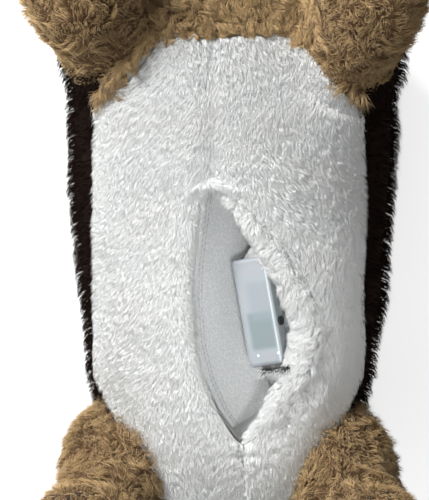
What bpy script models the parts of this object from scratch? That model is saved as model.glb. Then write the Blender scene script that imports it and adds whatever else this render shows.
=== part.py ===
"""Plush chihuahua lying on its back, with a pocket and an electronic module in its belly.

Metres. +Z is up, +Y points to the head and +X to the dog's own left.
The origin lies on the flattened back, below the middle of the belly opening.
"""

from math import acos, asin, cos, pi, radians, sin, tan

import bmesh
import bpy
from mathutils import Matrix, Vector

# Torso
TORSO_Y_MIDDLE = -0.006
TORSO_HALF_LENGTH = 0.166
TORSO_HALF_WIDTH = 0.086
TORSO_CHEST_WIDENING = 0.015
TORSO_HALF_HEIGHT = 0.0655
REST_FLAT_DEPTH = 0.0005
TORSO_END_POWER = 3.2
TORSO_SECTION_POWER = 2.4
ROUND_SIDES = 20
SMALL_SIDES = 16
THREAD_SIDES = 6
TORSO_RINGS = 24
TORSO_SIDES = 32
HEAD_END_Y = TORSO_Y_MIDDLE + TORSO_HALF_LENGTH
TAIL_END_Y = TORSO_Y_MIDDLE - TORSO_HALF_LENGTH
BELLY_TOP_Z = 2 * TORSO_HALF_HEIGHT - REST_FLAT_DEPTH

# Clearances
SKIN_GAP = 0.0006
SEAT_GAP = 0.0003
BALL_GAP = 0.0009
OVERRUN = 0.012

# Belly skins
SKIN_THICKNESS = 0.002
PANEL_HALF_WIDTH = 0.074
PANEL_REAR_HALF_WIDTH = 0.034
PANEL_CHEST_HALF_WIDTH = 0.040
PANEL_CHEST_MARGIN = 0.036
PANEL_SHOULDER_LENGTH = 0.042
PANEL_HIP_LENGTH = 0.076
PANEL_REAR_MARGIN = 0.026
PANEL_CHEST_Y = HEAD_END_Y - PANEL_CHEST_MARGIN
PANEL_SHOULDER_Y = PANEL_CHEST_Y - PANEL_SHOULDER_LENGTH
PANEL_REAR_Y = TAIL_END_Y + PANEL_REAR_MARGIN
PANEL_HIP_Y = PANEL_REAR_Y + PANEL_HIP_LENGTH
PANEL_ROWS = 36
PANEL_COLUMNS = 6
SEAM_HALF_GAP = 0.0008
BIB_HALF_WIDTH = 0.046
BIB_LENGTH = 0.018
BIB_ROWS = 4
BIB_COLUMNS = 12

# Belly opening
OPENING_HEAD_Y = 0.037
OPENING_TAIL_Y = -0.110
OPENING_HALF_WIDTH = 0.0295
OPENING_MIDDLE_X = 0.0085
OPENING_POINTS = 22
RIGHT_EDGE_SHARES = (
    (0.0, -0.60), (0.03, -0.81), (0.17, -0.90), (0.32, -0.99), (0.44, -1.0),
    (0.60, -0.95), (0.75, -0.80), (0.87, -0.56), (0.97, -0.22), (1.0, -0.05),
)
LEFT_EDGE_SHARES = (
    (0.0, -0.56), (0.03, -0.40), (0.09, -0.15), (0.18, 0.12), (0.30, 0.52),
    (0.42, 0.80), (0.55, 1.0), (0.65, 0.93), (0.72, 0.83), (0.81, 0.60), (0.91, 0.32), (1.0, 0.0),
)
POCKET_DEPTH = 0.0645
POCKET_FLOOR_Z = BELLY_TOP_Z - POCKET_DEPTH
POCKET_UNDER_LIP = 0.0138
POCKET_END_SLOPE = radians(65)
POCKET_END_DEPTH = 0.0225
LINING_GAP = 0.0004
LINING_THICKNESS = 0.0009
LINING_TOP_DEPTH = 0.0185
LINING_TOP_Z = BELLY_TOP_Z - LINING_TOP_DEPTH

# Rolled lip on the left of the opening
LIP_WIDTH = 0.0132
LIP_HEIGHT = 0.0125
LIP_SINK = 0.0005
LIP_SIDES = 12
LIP_STRIP_WIDTH = 0.004
LIP_STRIP_THICKNESS = 0.0008

# Under-flap of loop tape
FLAP_SLOPE = radians(48)
FLAP_HINGE_DEPTH = 0.0125
FLAP_HINGE_Z = BELLY_TOP_Z - FLAP_HINGE_DEPTH
FLAP_ROOM = 0.006
FLAP_ROWS = 24
FLAP_EDGE_GAP = 0.0008
FLAP_TAPER_Y = -0.052
FLAP_TAPER_GAP = 0.0042
FLAP_THICKNESS = 0.0010
FLAP_HEAD_Y = 0.022
FLAP_TAIL_Y = -0.088
FLAP_RIGHT_SHARES = (
    (0.0, 0.0), (0.14, 0.62), (0.25, -0.20), (0.55, 0.20), (0.82, 0.70), (0.94, 0.62), (1.0, 0.30),
)
FLAP_MIDDLE_X = 0.0080
FLAP_SPREAD_X = 0.0160
STITCH_RADIUS = 0.00035
STITCH_LENGTH = 0.0030
STITCH_PITCH = 0.0044
STITCH_ROW_OFFSETS = (0.0012, 0.0034)

# Electronic module
MODULE_FRONT_DEPTH = 0.0145
MODULE_FRONT = Vector((0.0155, -0.0353, BELLY_TOP_Z - MODULE_FRONT_DEPTH))
MODULE_LEAN = radians(10)
MODULE_ROLL = radians(30)
MODULE_LENGTH = 0.062
MODULE_WIDTH = 0.022
MODULE_DEPTH = 0.020
MODULE_CORNER = 0.0022
CASE_WALL = 0.0013
FRONT_CASE_DEPTH = 0.0125
DOOR_LENGTH = 0.026
DOOR_WIDTH = 0.0155
DOOR_THICKNESS = 0.0012
DOOR_END_MARGIN = 0.0035
SCREW_RADIUS = 0.0012
SCREW_HEAD_RADIUS = 0.0020
SCREW_HEAD_HEIGHT = 0.0008
BOARD_DEPTH = 0.0048
BOARD_THICKNESS = 0.0012
BOARD_MARGIN = 0.0004
CELL_RADIUS = 0.0057
CELL_HEIGHT = 0.0052
CELL_COUNT = 3
CELL_Y = -0.0195
CONTACT_THICKNESS = 0.0005
SPEAKER_RADIUS = 0.0080
SPEAKER_HEIGHT = 0.0042
SPEAKER_Y = 0.014
LED_RADIUS = 0.0015
LED_HEIGHT = 0.0028
LED_Y = -0.0245
LED_SPACING = 0.0070
BUTTON_RADIUS = 0.0026
BUTTON_PROUD = 0.0014
BUTTON_DEPTH = 0.0060
BUTTON_Y = -0.007
BUTTON_FLANGE_RADIUS = 0.0034
BUTTON_FLANGE_HEIGHT = 0.0006
BUTTON_CLEARANCE = 0.0002
BUTTON_TRAVEL = 0.0008

# Wadding that the module lies on
WADDING_LOW = Vector((0.0235, -0.072, 0.0))
WADDING_HIGH = Vector((0.0385, -0.014, BELLY_TOP_Z))
WADDING_REACH = 0.060

# Limbs
LEG_BALL_RADIUS = 0.031
LEG_SHAFT_RADIUS = 0.0215
LEG_CALF_RADIUS = 0.0235
PAW_RADIUS = 0.0255
LEG_LENGTH = 0.100
PAW_FORWARD = 0.012
LEG_SWING = radians(12)
SWING_MARGIN = radians(2)
LIMB_SIDES = 20
BALL_STEPS = 7
SOCKET_STEPS = 8
FRONT_LEFT_X = 0.060
FRONT_RIGHT_X = -0.062
HIND_LEFT_X = 0.060
HIND_RIGHT_X = -0.060
FRONT_LEFT_SETBACK = 0.052
FRONT_RIGHT_SETBACK = 0.046
HIND_LEFT_SETBACK = 0.050
HIND_RIGHT_SETBACK = 0.052
FRONT_PIVOT_DEPTH = 0.0355
HIND_PIVOT_DEPTH = 0.0425
FRONT_PIVOT_Z = BELLY_TOP_Z - FRONT_PIVOT_DEPTH
HIND_PIVOT_Z = BELLY_TOP_Z - HIND_PIVOT_DEPTH
FRONT_LEFT_PIVOT = Vector((FRONT_LEFT_X, HEAD_END_Y - FRONT_LEFT_SETBACK, FRONT_PIVOT_Z))
FRONT_RIGHT_PIVOT = Vector((FRONT_RIGHT_X, HEAD_END_Y - FRONT_RIGHT_SETBACK, FRONT_PIVOT_Z))
HIND_LEFT_PIVOT = Vector((HIND_LEFT_X, TAIL_END_Y + HIND_LEFT_SETBACK, HIND_PIVOT_Z))
HIND_RIGHT_PIVOT = Vector((HIND_RIGHT_X, TAIL_END_Y + HIND_RIGHT_SETBACK, HIND_PIVOT_Z))
FRONT_LEFT_AIM = Vector((0.30, 0.42, 0.85))
FRONT_RIGHT_AIM = Vector((-0.40, 0.50, 0.77))
HIND_LEFT_AIM = Vector((0.22, -0.52, 0.82))
HIND_RIGHT_AIM = Vector((-0.24, -0.54, 0.80))
TOE_THREAD_RADIUS = 0.0006
TOE_THREAD_SPREAD = 0.0090
TOE_THREAD_COUNT = 3

# Neck and head
NECK_SETBACK = 0.020
NECK_PIVOT_Z = 0.064
NECK_PIVOT = Vector((0.0, HEAD_END_Y - NECK_SETBACK, NECK_PIVOT_Z))
NECK_REACH = Vector((0.0, 0.050, -0.004))
NECK_BALL_RADIUS = 0.036
NECK_SHAFT_RADIUS = 0.0240
NECK_TOP_BALL_RADIUS = 0.032
HEAD_PIVOT = NECK_PIVOT + NECK_REACH
HEAD_REACH = Vector((0.0, 0.040, -0.0035))
HEAD_CENTRE = HEAD_PIVOT + HEAD_REACH
HEAD_HALF_WIDTH = 0.058
HEAD_HALF_CROWN = 0.051
HEAD_HALF_FACE = 0.053
FACE_LIFT = radians(50)
NECK_SWING = radians(15)
HEAD_SWING = radians(15)
MUZZLE_FACE = 0.048
MUZZLE_DROP = 0.015
MUZZLE_HALF_WIDTH = 0.0215
MUZZLE_HALF_HEIGHT = 0.0165
MUZZLE_HALF_LENGTH = 0.0260
EYE_ACROSS = 0.0270
EYE_RISE = 0.0080
EYE_RADIUS = 0.0085
EYE_HEIGHT = 0.0048
SHANK_RADIUS = 0.0020
SHANK_LENGTH = 0.0110
WASHER_RADIUS = 0.0070
WASHER_THICKNESS = 0.0014
WASHER_DEPTH = 0.0060
SHANK_CLEARANCE = 0.0004
NOSE_RADIUS = 0.0070
NOSE_HEIGHT = 0.0050
NOSE_RISE = 0.0045
MOUTH_THREAD_RADIUS = 0.0007
MOUTH_HALF_WIDTH = 0.0080

# Ears
EAR_AIM = Vector((0.86, 0.50, 0.0))
EAR_BALL_RADIUS = 0.0110
EAR_ROOT_SINK = 0.0020
EAR_LENGTH = 0.082
EAR_HALF_WIDTH = 0.028
EAR_HALF_THICKNESS = 0.0040
EAR_NECK_HALF_WIDTH = 0.0080
EAR_SWING = radians(15)
INNER_EAR_SHARE = 0.72
INNER_EAR_THICKNESS = 0.0016
EAR_SHARES = (
    (0.16, 0.42, 0.9), (0.26, 0.78, 1.0), (0.40, 1.0, 1.0), (0.56, 0.96, 1.0),
    (0.72, 0.74, 0.9), (0.85, 0.46, 0.75), (0.95, 0.20, 0.6),
)

# Tail
TAIL_SETBACK = 0.009
TAIL_PIVOT_Z = 0.058
TAIL_PIVOT = Vector((0.0, TAIL_END_Y + TAIL_SETBACK, TAIL_PIVOT_Z))
TAIL_AIM = Vector((0.0, -0.90, -0.25))
TAIL_BALL_RADIUS = 0.0140
TAIL_ROOT_RADIUS = 0.0095
TAIL_TIP_RADIUS = 0.0060
TAIL_LENGTH = 0.105
TAIL_CURL = 0.022
TAIL_SWING = radians(20)


def finish(name, colour, roughness, metallic=0.0):
    """A plain Principled material."""
    material = bpy.data.materials.new(name)
    material.use_nodes = True
    shader = material.node_tree.nodes["Principled BSDF"]
    shader.inputs["Base Color"].default_value = (*colour, 1.0)
    shader.inputs["Roughness"].default_value = roughness
    shader.inputs["Metallic"].default_value = metallic
    return material


def add_object(name, mesh, material, parent=None, matrix=None):
    """Puts a bmesh in the scene as a named object, smooth except at its sharp edges."""
    bmesh.ops.recalc_face_normals(mesh, faces=mesh.faces)
    data = bpy.data.meshes.new(name)
    mesh.to_mesh(data)
    mesh.free()
    data.shade_smooth()
    data.set_sharp_from_angle(angle=radians(35))
    made = bpy.data.objects.new(name, data)
    bpy.context.scene.collection.objects.link(made)
    if material is not None:
        data.materials.append(material)
    if matrix is not None:
        made.matrix_world = matrix
    if parent is not None:
        made.parent = parent
    return made


def add_axis(name, matrix):
    """An empty on a joint's axis, which carries the pieces that move with it."""
    axis = bpy.data.objects.new(name, None)
    axis.matrix_world = matrix
    bpy.context.scene.collection.objects.link(axis)
    return axis


def as_cutter(made):
    made.hide_render = True
    made.display_type = "WIRE"
    return made


def cut(made, cutter):
    modifier = made.modifiers.new("cut_" + cutter.name, "BOOLEAN")
    modifier.operation = "DIFFERENCE"
    modifier.solver = "EXACT"
    modifier.object = cutter


def placed(point, aim, up=None):
    """A matrix whose +Z is the aim, with its +Y turned to the up direction."""
    z_axis = aim.normalized()
    y_axis = up if up is not None else Vector((0.0, 1.0, 0.0))
    x_axis = y_axis.cross(z_axis).normalized()
    turned = Matrix((x_axis, z_axis.cross(x_axis), z_axis)).transposed()
    return Matrix.Translation(point) @ turned.to_4x4()


def circle(radius, sides, centre, stretch=1.0):
    """Points of a level ring about a centre."""
    return [
        centre + Vector((radius * cos(2 * pi * i / sides), stretch * radius * sin(2 * pi * i / sides), 0.0))
        for i in range(sides)
    ]


def lofted(rings, start=None, end=None):
    """Joins rings of equal count, closed by a point where one is given and else by a flat face."""
    mesh = bmesh.new()
    rows = [[mesh.verts.new(point) for point in ring] for ring in rings]
    count = len(rows[0])
    for low, high in zip(rows, rows[1:]):
        for i in range(count):
            mesh.faces.new((low[i], low[(i + 1) % count], high[(i + 1) % count], high[i]))
    for row, point in ((rows[0], start), (rows[-1], end)):
        if point is None:
            mesh.faces.new(row)
            continue
        pole = mesh.verts.new(point)
        for i in range(count):
            mesh.faces.new((row[i], row[(i + 1) % count], pole))
    return mesh


def turned(profile, sides):
    """A body of revolution about Z from pairs of radius and height, closed by flat ends."""
    return lofted([circle(radius, sides, Vector((0.0, 0.0, height))) for radius, height in profile])


def block(low, high, corner=0.0):
    """A box between two corners, with its upright edges rounded where a corner radius is given."""
    mesh = bmesh.new()
    size = high - low
    middle = (low + high) / 2
    bmesh.ops.create_cube(mesh, size=1.0, matrix=Matrix.Translation(middle) @ Matrix.Diagonal((*size, 1.0)))
    if corner > 0.0:
        bmesh.ops.bevel(mesh, geom=mesh.edges[:], offset=corner, segments=2, affect="EDGES", profile=0.5)
    return mesh


def ellipsoid(half_x, half_y, half_z, sides, rings):
    mesh = bmesh.new()
    scale = Matrix.Diagonal((half_x, half_y, half_z, 1.0))
    bmesh.ops.create_uvsphere(mesh, u_segments=sides, v_segments=rings, radius=1.0, matrix=scale)
    return mesh


def tube(points, radius, sides=THREAD_SIDES):
    """A thread along a list of points, closed by flat ends."""
    rings = []
    for i, point in enumerate(points):
        along = points[min(i + 1, len(points) - 1)] - points[max(i - 1, 0)]
        frame = placed(point, along, Vector((0.31, 0.42, 0.85)))
        rings.append([frame @ p for p in circle(radius, sides, Vector())])
    return lofted(rings)


def share_at(table, place):
    """Reads a table of places and shares by straight interpolation."""
    for (low, first), (high, second) in zip(table, table[1:]):
        if place <= high:
            return first + (second - first) * (place - low) / (high - low)
    return table[-1][1]


# Torso surface

def torso_end_share(y):
    reach = min(abs(y - TORSO_Y_MIDDLE) / TORSO_HALF_LENGTH, 1.0)
    return (1.0 - reach**TORSO_END_POWER) ** (1.0 / TORSO_END_POWER)


def torso_half_width(y):
    along = (y - TORSO_Y_MIDDLE) / TORSO_HALF_LENGTH
    return (TORSO_HALF_WIDTH + TORSO_CHEST_WIDENING * along) * torso_end_share(y)


def torso_centre_z():
    return TORSO_HALF_HEIGHT - REST_FLAT_DEPTH


def torso_point(angle, y):
    """A point on the torso: angle 0 is the dog's left side and a quarter turn is the belly."""
    power = 2.0 / TORSO_SECTION_POWER
    across = abs(cos(angle)) ** power * (1 if cos(angle) >= 0 else -1)
    rise = abs(sin(angle)) ** power * (1 if sin(angle) >= 0 else -1)
    height = TORSO_HALF_HEIGHT * torso_end_share(y)
    return Vector((across * torso_half_width(y), y, torso_centre_z() + rise * height))


def belly_angle(x, y):
    """The angle at which the torso's upper surface has this X."""
    share = min(abs(x) / torso_half_width(y), 1.0)
    angle = acos(share ** (TORSO_SECTION_POWER / 2.0))
    return angle if x >= 0 else pi - angle


def belly_point(x, y):
    return torso_point(belly_angle(x, y), y)


def belly_normal(x, y):
    step = SKIN_THICKNESS
    along = belly_point(x, y + step) - belly_point(x, y - step)
    across = belly_point(x + step, y) - belly_point(x - step, y)
    return across.cross(along).normalized()


# Belly opening

def opening_place(y):
    """How far a Y lies along the opening, from 0 at the head end to 1 at the tail end."""
    return (OPENING_HEAD_Y - y) / (OPENING_HEAD_Y - OPENING_TAIL_Y)


def opening_edge(shares, y):
    return OPENING_MIDDLE_X + OPENING_HALF_WIDTH * share_at(shares, opening_place(y))


def lip_share(y):
    """The lip and the pocket under it narrow to both ends of the opening."""
    place = opening_place(y)
    return max(0.0, 1.0 - abs(2.0 * place - 1.0) ** 4)


def pocket_wall(y):
    return opening_edge(LEFT_EDGE_SHARES, y) + POCKET_UNDER_LIP * lip_share(y)


def pocket_outline(inset, z):
    """The pocket seen from above, drawn in by an inset."""
    rows = opening_rows(OPENING_HEAD_Y - 2.0 * inset, OPENING_TAIL_Y + 2.0 * inset)
    right = [Vector((opening_edge(RIGHT_EDGE_SHARES, y) + inset, y, z)) for y in rows]
    left = [Vector((pocket_wall(y) - inset, y, z)) for y in reversed(rows)]
    points = []
    for point in right + left:
        if not points or (point - points[-1]).length > LINING_THICKNESS:
            points.append(point)
    if (points[0] - points[-1]).length <= LINING_THICKNESS:
        points.pop()
    return points


def floor_slopes():
    """A point and the inward normal of each sloping part of the pocket's floor."""
    rise = Vector((sin(FLAP_SLOPE), 0.0, cos(FLAP_SLOPE)))
    drop = FLAP_THICKNESS + FLAP_ROOM + LINING_GAP + LINING_THICKNESS
    slopes = [(Vector((flap_hinge_x(), 0.0, FLAP_HINGE_Z)) - rise * drop, rise)]
    for end_y, side in ((OPENING_HEAD_Y, -1), (OPENING_TAIL_Y, 1)):
        normal = Vector((0.0, side * sin(POCKET_END_SLOPE), cos(POCKET_END_SLOPE)))
        slopes.append((Vector((0.0, end_y, BELLY_TOP_Z - POCKET_END_DEPTH)), normal))
    return slopes


def pocket_prism(inset, low, high):
    """The pocket drawn in by an inset, whose floor slopes up under the flap and to both ends."""
    mesh = lofted([pocket_outline(inset, low), pocket_outline(inset, high)])
    for point, normal in floor_slopes():
        whole = mesh.verts[:] + mesh.edges[:] + mesh.faces[:]
        bmesh.ops.bisect_plane(mesh, geom=whole, plane_co=point + normal * inset, plane_no=normal, clear_inner=True)
        bmesh.ops.holes_fill(mesh, edges=[edge for edge in mesh.edges if edge.is_boundary])
    return mesh


# Limbs

def limb_frame(pivot, aim):
    return placed(pivot, aim, Vector((0.0, 1.0, 0.0)))


def ball_profile(ball_radius, spread, steps):
    """Rings of a ball from near its far pole up to a cone of this half-angle about its axis."""
    angles = [(pi - spread) * (i + 1) / steps for i in range(steps)]
    return [(ball_radius * sin(angle), -ball_radius * cos(angle)) for angle in angles]


def shaft_spread(ball_radius, shaft_radius):
    """The half-angle at which a shaft leaves its ball."""
    return asin(shaft_radius / ball_radius)


def socket(name, frame, ball_radius, shaft_radius, swing, reach, parent=None):
    """Cutter for a ball root: the ball with its gap, and the cone in which the limb swings."""
    radius = ball_radius + BALL_GAP
    spread = shaft_spread(ball_radius, shaft_radius) + swing + SWING_MARGIN
    profile = [*ball_profile(radius, spread, SOCKET_STEPS), (reach * tan(spread), reach)]
    rings = [circle(ring_radius, LIMB_SIDES, Vector((0.0, 0.0, height))) for ring_radius, height in profile]
    mesh = lofted(rings, Vector((0.0, 0.0, -radius)))
    return as_cutter(add_object(name + "_socket", mesh, None, parent, frame))


def stuffed_limb(ball_radius, shaft, sides, steps, tip):
    """A ball root with a tapering shaft, whose stations are radius, height and forward offset."""
    rings = [
        circle(radius, sides, Vector((0.0, 0.0, height)))
        for radius, height in ball_profile(ball_radius, shaft_spread(ball_radius, shaft[0][0]), steps)
    ]
    rings += [circle(radius, sides, Vector((0.0, forward, height))) for radius, height, forward in shaft[1:]]
    return lofted(rings, Vector((0.0, 0.0, -ball_radius)), tip)


def leg_stations():
    """Radius, height and forward offset of a leg's rings after its ball."""
    end = LEG_LENGTH
    return (
        (LEG_SHAFT_RADIUS, 0.0, 0.0),
        (LEG_SHAFT_RADIUS, end * 0.36, 0.0),
        (LEG_CALF_RADIUS, end * 0.50, 0.0),
        (LEG_CALF_RADIUS, end * 0.64, PAW_FORWARD * 0.15),
        (PAW_RADIUS, end * 0.76, PAW_FORWARD * 0.6),
        (PAW_RADIUS, end * 0.87, PAW_FORWARD),
        (PAW_RADIUS * 0.88, end * 0.95, PAW_FORWARD),
        (PAW_RADIUS * 0.55, end * 0.99, PAW_FORWARD),
    )


def toe_thread():
    """One thread sewn up and down over the end of a paw, to part its toes."""
    points = []
    for i in range(TOE_THREAD_COUNT):
        x = TOE_THREAD_SPREAD * (i - (TOE_THREAD_COUNT - 1) / 2)
        inset = (1.0 - (x / PAW_RADIUS) ** 2) ** 0.5
        run = []
        for lift_share, out_share in ((0.80, 1.0), (0.88, 1.0), (0.94, 0.93)):
            reach = PAW_RADIUS * inset * out_share + SKIN_GAP + TOE_THREAD_RADIUS
            run.append(Vector((x, PAW_FORWARD + reach, LEG_LENGTH * lift_share)))
        points += run if i % 2 == 0 else reversed(run)
    return tube(points, TOE_THREAD_RADIUS)


# Making the pieces

def make_torso(material, cutters):
    rings = []
    for i in range(1, TORSO_RINGS):
        y = TORSO_Y_MIDDLE - TORSO_HALF_LENGTH * cos(pi * i / TORSO_RINGS)
        rings.append([torso_point(2 * pi * (j + 0.5) / TORSO_SIDES, y) for j in range(TORSO_SIDES)])
    ends = [Vector((0.0, TORSO_Y_MIDDLE + side * TORSO_HALF_LENGTH, torso_centre_z())) for side in (-1, 1)]
    torso = add_object("torso", lofted(rings, *ends), material)
    reach = TORSO_HALF_LENGTH + OVERRUN
    low = Vector((-reach, TORSO_Y_MIDDLE - reach, -OVERRUN))
    high = Vector((reach, TORSO_Y_MIDDLE + reach, 0.0))
    floor_cutter = as_cutter(add_object("floor_cutter", block(low, high), None))
    above = BELLY_TOP_Z + OVERRUN
    pocket = as_cutter(add_object("pocket_cutter", pocket_prism(0.0, POCKET_FLOOR_Z, above), None))
    for cutter in (floor_cutter, pocket, *cutters):
        cut(torso, cutter)
    return torso


def skin_patch(name, material, rows, columns, edges):
    """A thin skin over the belly between two edges that are functions of Y."""
    mesh = bmesh.new()
    sheets = []
    for lift in (SKIN_GAP, SKIN_GAP + SKIN_THICKNESS):
        sheet = []
        for y in rows:
            first, last = (belly_angle(edge(y), y) for edge in edges)
            line = []
            for j in range(columns + 1):
                angle = first + (last - first) * j / columns
                point = torso_point(angle, y)
                line.append(mesh.verts.new(point + belly_normal(point.x, y) * lift))
            sheet.append(line)
        sheets.append(sheet)
    below, above = sheets
    last_row = len(rows) - 1
    for i in range(last_row):
        for j in range(columns):
            for sheet in sheets:
                mesh.faces.new((sheet[i][j], sheet[i][j + 1], sheet[i + 1][j + 1], sheet[i + 1][j]))
    for i in range(last_row):
        for j in (0, columns):
            mesh.faces.new((below[i][j], below[i + 1][j], above[i + 1][j], above[i][j]))
    for j in range(columns):
        for i in (0, last_row):
            mesh.faces.new((below[i][j], below[i][j + 1], above[i][j + 1], above[i][j]))
    return add_object(name, mesh, material)


def panel_side(y):
    """Half the width of the white belly at a Y."""
    if y > PANEL_SHOULDER_Y:
        share = (y - PANEL_SHOULDER_Y) / (PANEL_CHEST_Y - PANEL_SHOULDER_Y)
        return PANEL_HALF_WIDTH + (PANEL_CHEST_HALF_WIDTH - PANEL_HALF_WIDTH) * share
    if y < PANEL_HIP_Y:
        share = (PANEL_HIP_Y - y) / (PANEL_HIP_Y - PANEL_REAR_Y)
        return PANEL_HALF_WIDTH + (PANEL_REAR_HALF_WIDTH - PANEL_HALF_WIDTH) * share
    return PANEL_HALF_WIDTH


def seam_x(y):
    """The middle seam above and below the opening."""
    end = OPENING_HEAD_Y if y > OPENING_HEAD_Y else OPENING_TAIL_Y
    return (opening_edge(RIGHT_EDGE_SHARES, end) + opening_edge(LEFT_EDGE_SHARES, end)) / 2


def right_inner_edge(y):
    if OPENING_TAIL_Y < y < OPENING_HEAD_Y:
        return opening_edge(RIGHT_EDGE_SHARES, y)
    return seam_x(y) - SEAM_HALF_GAP


def left_inner_edge(y):
    if OPENING_TAIL_Y < y < OPENING_HEAD_Y:
        return pocket_wall(y) + SEAT_GAP
    return seam_x(y) + SEAM_HALF_GAP


def make_belly(white, tan_pile, cutters):
    step = (PANEL_CHEST_Y - PANEL_REAR_Y) / PANEL_ROWS
    rows = [PANEL_REAR_Y + step * i for i in range(PANEL_ROWS + 1)]
    sides = (
        ("belly_panel_right", right_inner_edge, lambda y: -panel_side(y)),
        ("belly_panel_left", left_inner_edge, panel_side),
    )
    skins = [skin_patch(name, white, rows, PANEL_COLUMNS, edges) for name, *edges in sides]
    first = PANEL_CHEST_Y + SKIN_GAP
    rows = [first + BIB_LENGTH * i / BIB_ROWS for i in range(BIB_ROWS + 1)]
    bib_edges = (lambda y: -BIB_HALF_WIDTH, lambda y: BIB_HALF_WIDTH)
    skins.append(skin_patch("chest_bib", tan_pile, rows, BIB_COLUMNS, bib_edges))
    reached = (("hind_leg_right", "front_leg_right"), ("hind_leg_left", "front_leg_left"), ("front_leg",))
    for skin, legs in zip(skins, reached):
        for cutter in cutters:
            if cutter.name.startswith(legs):
                cut(skin, cutter)


def make_centre_seam(thread):
    """A zigzag stitch along the belly seam behind the opening."""
    start_y = OPENING_TAIL_Y - STITCH_PITCH / 2
    lift = SKIN_GAP + SKIN_THICKNESS + SEAT_GAP + STITCH_RADIUS
    side = SEAM_HALF_GAP + STITCH_RADIUS
    stitches = max(1, int((start_y - PANEL_REAR_Y - STITCH_LENGTH) / STITCH_LENGTH))
    points = []
    for i in range(stitches + 1):
        y = start_y - STITCH_LENGTH * i
        x = seam_x(y) + (side if i % 2 == 0 else -side)
        points.append(belly_point(x, y) + belly_normal(x, y) * lift)
    add_object("centre_seam", tube(points, STITCH_RADIUS), thread)


def make_pocket_lining(fabric):
    lining = add_object(
        "pocket_lining", pocket_prism(LINING_GAP, POCKET_FLOOR_Z + LINING_GAP, LINING_TOP_Z), fabric
    )
    inset = LINING_GAP + LINING_THICKNESS
    hollow = pocket_prism(inset, POCKET_FLOOR_Z + inset, LINING_TOP_Z + OVERRUN)
    cut(lining, as_cutter(add_object("lining_hollow", hollow, None)))


def opening_rows(head, tail):
    """Evenly spaced places along the opening, which the pocket and the lip share."""
    return [head + (tail - head) * i / (OPENING_POINTS - 1) for i in range(OPENING_POINTS)]


def lip_stations():
    """Y, middle X, height of the surface and size share of the lip's rings."""
    stations = []
    for y in opening_rows(OPENING_HEAD_Y, OPENING_TAIL_Y)[1:-1]:
        size = lip_share(y)
        x = opening_edge(LEFT_EDGE_SHARES, y) + LIP_WIDTH * size / 2
        stations.append((y, x, belly_point(x, y).z - LIP_SINK, size))
    return stations


def lip_tips():
    """The lip's pointed ends, half-way from its end rings to the ends of the opening."""
    tips = []
    for station, end_y in zip((lip_stations()[0], lip_stations()[-1]), (OPENING_HEAD_Y, OPENING_TAIL_Y)):
        y, x, z, size = station
        end_x = opening_edge(LEFT_EDGE_SHARES, end_y)
        tips.append(Vector(((x + end_x) / 2, (y + end_y) / 2, z)))
    return tips


def lip_axis_point():
    """The lip folds outwards about a line at its outermost edge."""
    reach = max(x + LIP_WIDTH * size / 2 for y, x, z, size in lip_stations())
    y = (OPENING_HEAD_Y + OPENING_TAIL_Y) / 2
    return Vector((reach + SEAT_GAP, y, belly_point(reach, y).z + SKIN_GAP + SKIN_THICKNESS))


def make_lip(white, hook):
    pivot = lip_axis_point()
    axis = add_axis("opening_lip_axis", Matrix.Translation(pivot))
    rings = []
    strip = []
    for y, x, z, size in lip_stations():
        centre = Vector((x, y, z)) - pivot
        ring = []
        for j in range(LIP_SIDES):
            angle = 2 * pi * j / LIP_SIDES
            ring.append(centre + Vector((cos(angle) * LIP_WIDTH / 2, 0.0, sin(angle) * LIP_HEIGHT / 2)) * size)
        rings.append(ring)
        if size > 0.9:
            strip.append(centre)
    tips = [tip - pivot for tip in lip_tips()]
    add_object("opening_lip_left", lofted(rings, *tips), white, axis)
    make_hook_strip(hook, axis, strip)


def make_hook_strip(hook, axis, centres):
    """Hook tape under the lip, facing into the pocket."""
    rings = []
    half = LIP_STRIP_WIDTH / 2
    drop = LIP_HEIGHT / 2 + SEAT_GAP
    for centre in centres:
        top = centre - Vector((0.0, 0.0, drop))
        rings.append([
            top + Vector((x, 0.0, z))
            for x, z in ((-half, 0.0), (half, 0.0), (half, -LIP_STRIP_THICKNESS), (-half, -LIP_STRIP_THICKNESS))
        ])
    add_object("hook_strip", lofted(rings), hook, axis)


def flap_edge_inset():
    """From the pocket's wall to the upper edge of the flap, whose lower edge lies nearer."""
    return FLAP_EDGE_GAP + FLAP_THICKNESS * sin(FLAP_SLOPE)


def flap_left_x(y):
    taper = max(0.0, FLAP_TAPER_Y - y) / (FLAP_TAPER_Y - FLAP_TAIL_Y)
    return opening_edge(RIGHT_EDGE_SHARES, y) + flap_edge_inset() + FLAP_TAPER_GAP * taper


def flap_hinge_x():
    return OPENING_MIDDLE_X - OPENING_HALF_WIDTH + flap_edge_inset()


def flap_point(x, y, lift=0.0):
    """A point on the flap's upper side, relative to its hinge line."""
    along = x - flap_hinge_x()
    up = Vector((sin(FLAP_SLOPE), 0.0, cos(FLAP_SLOPE))) * lift
    return Vector((along, y, -along * tan(FLAP_SLOPE))) + up


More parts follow.
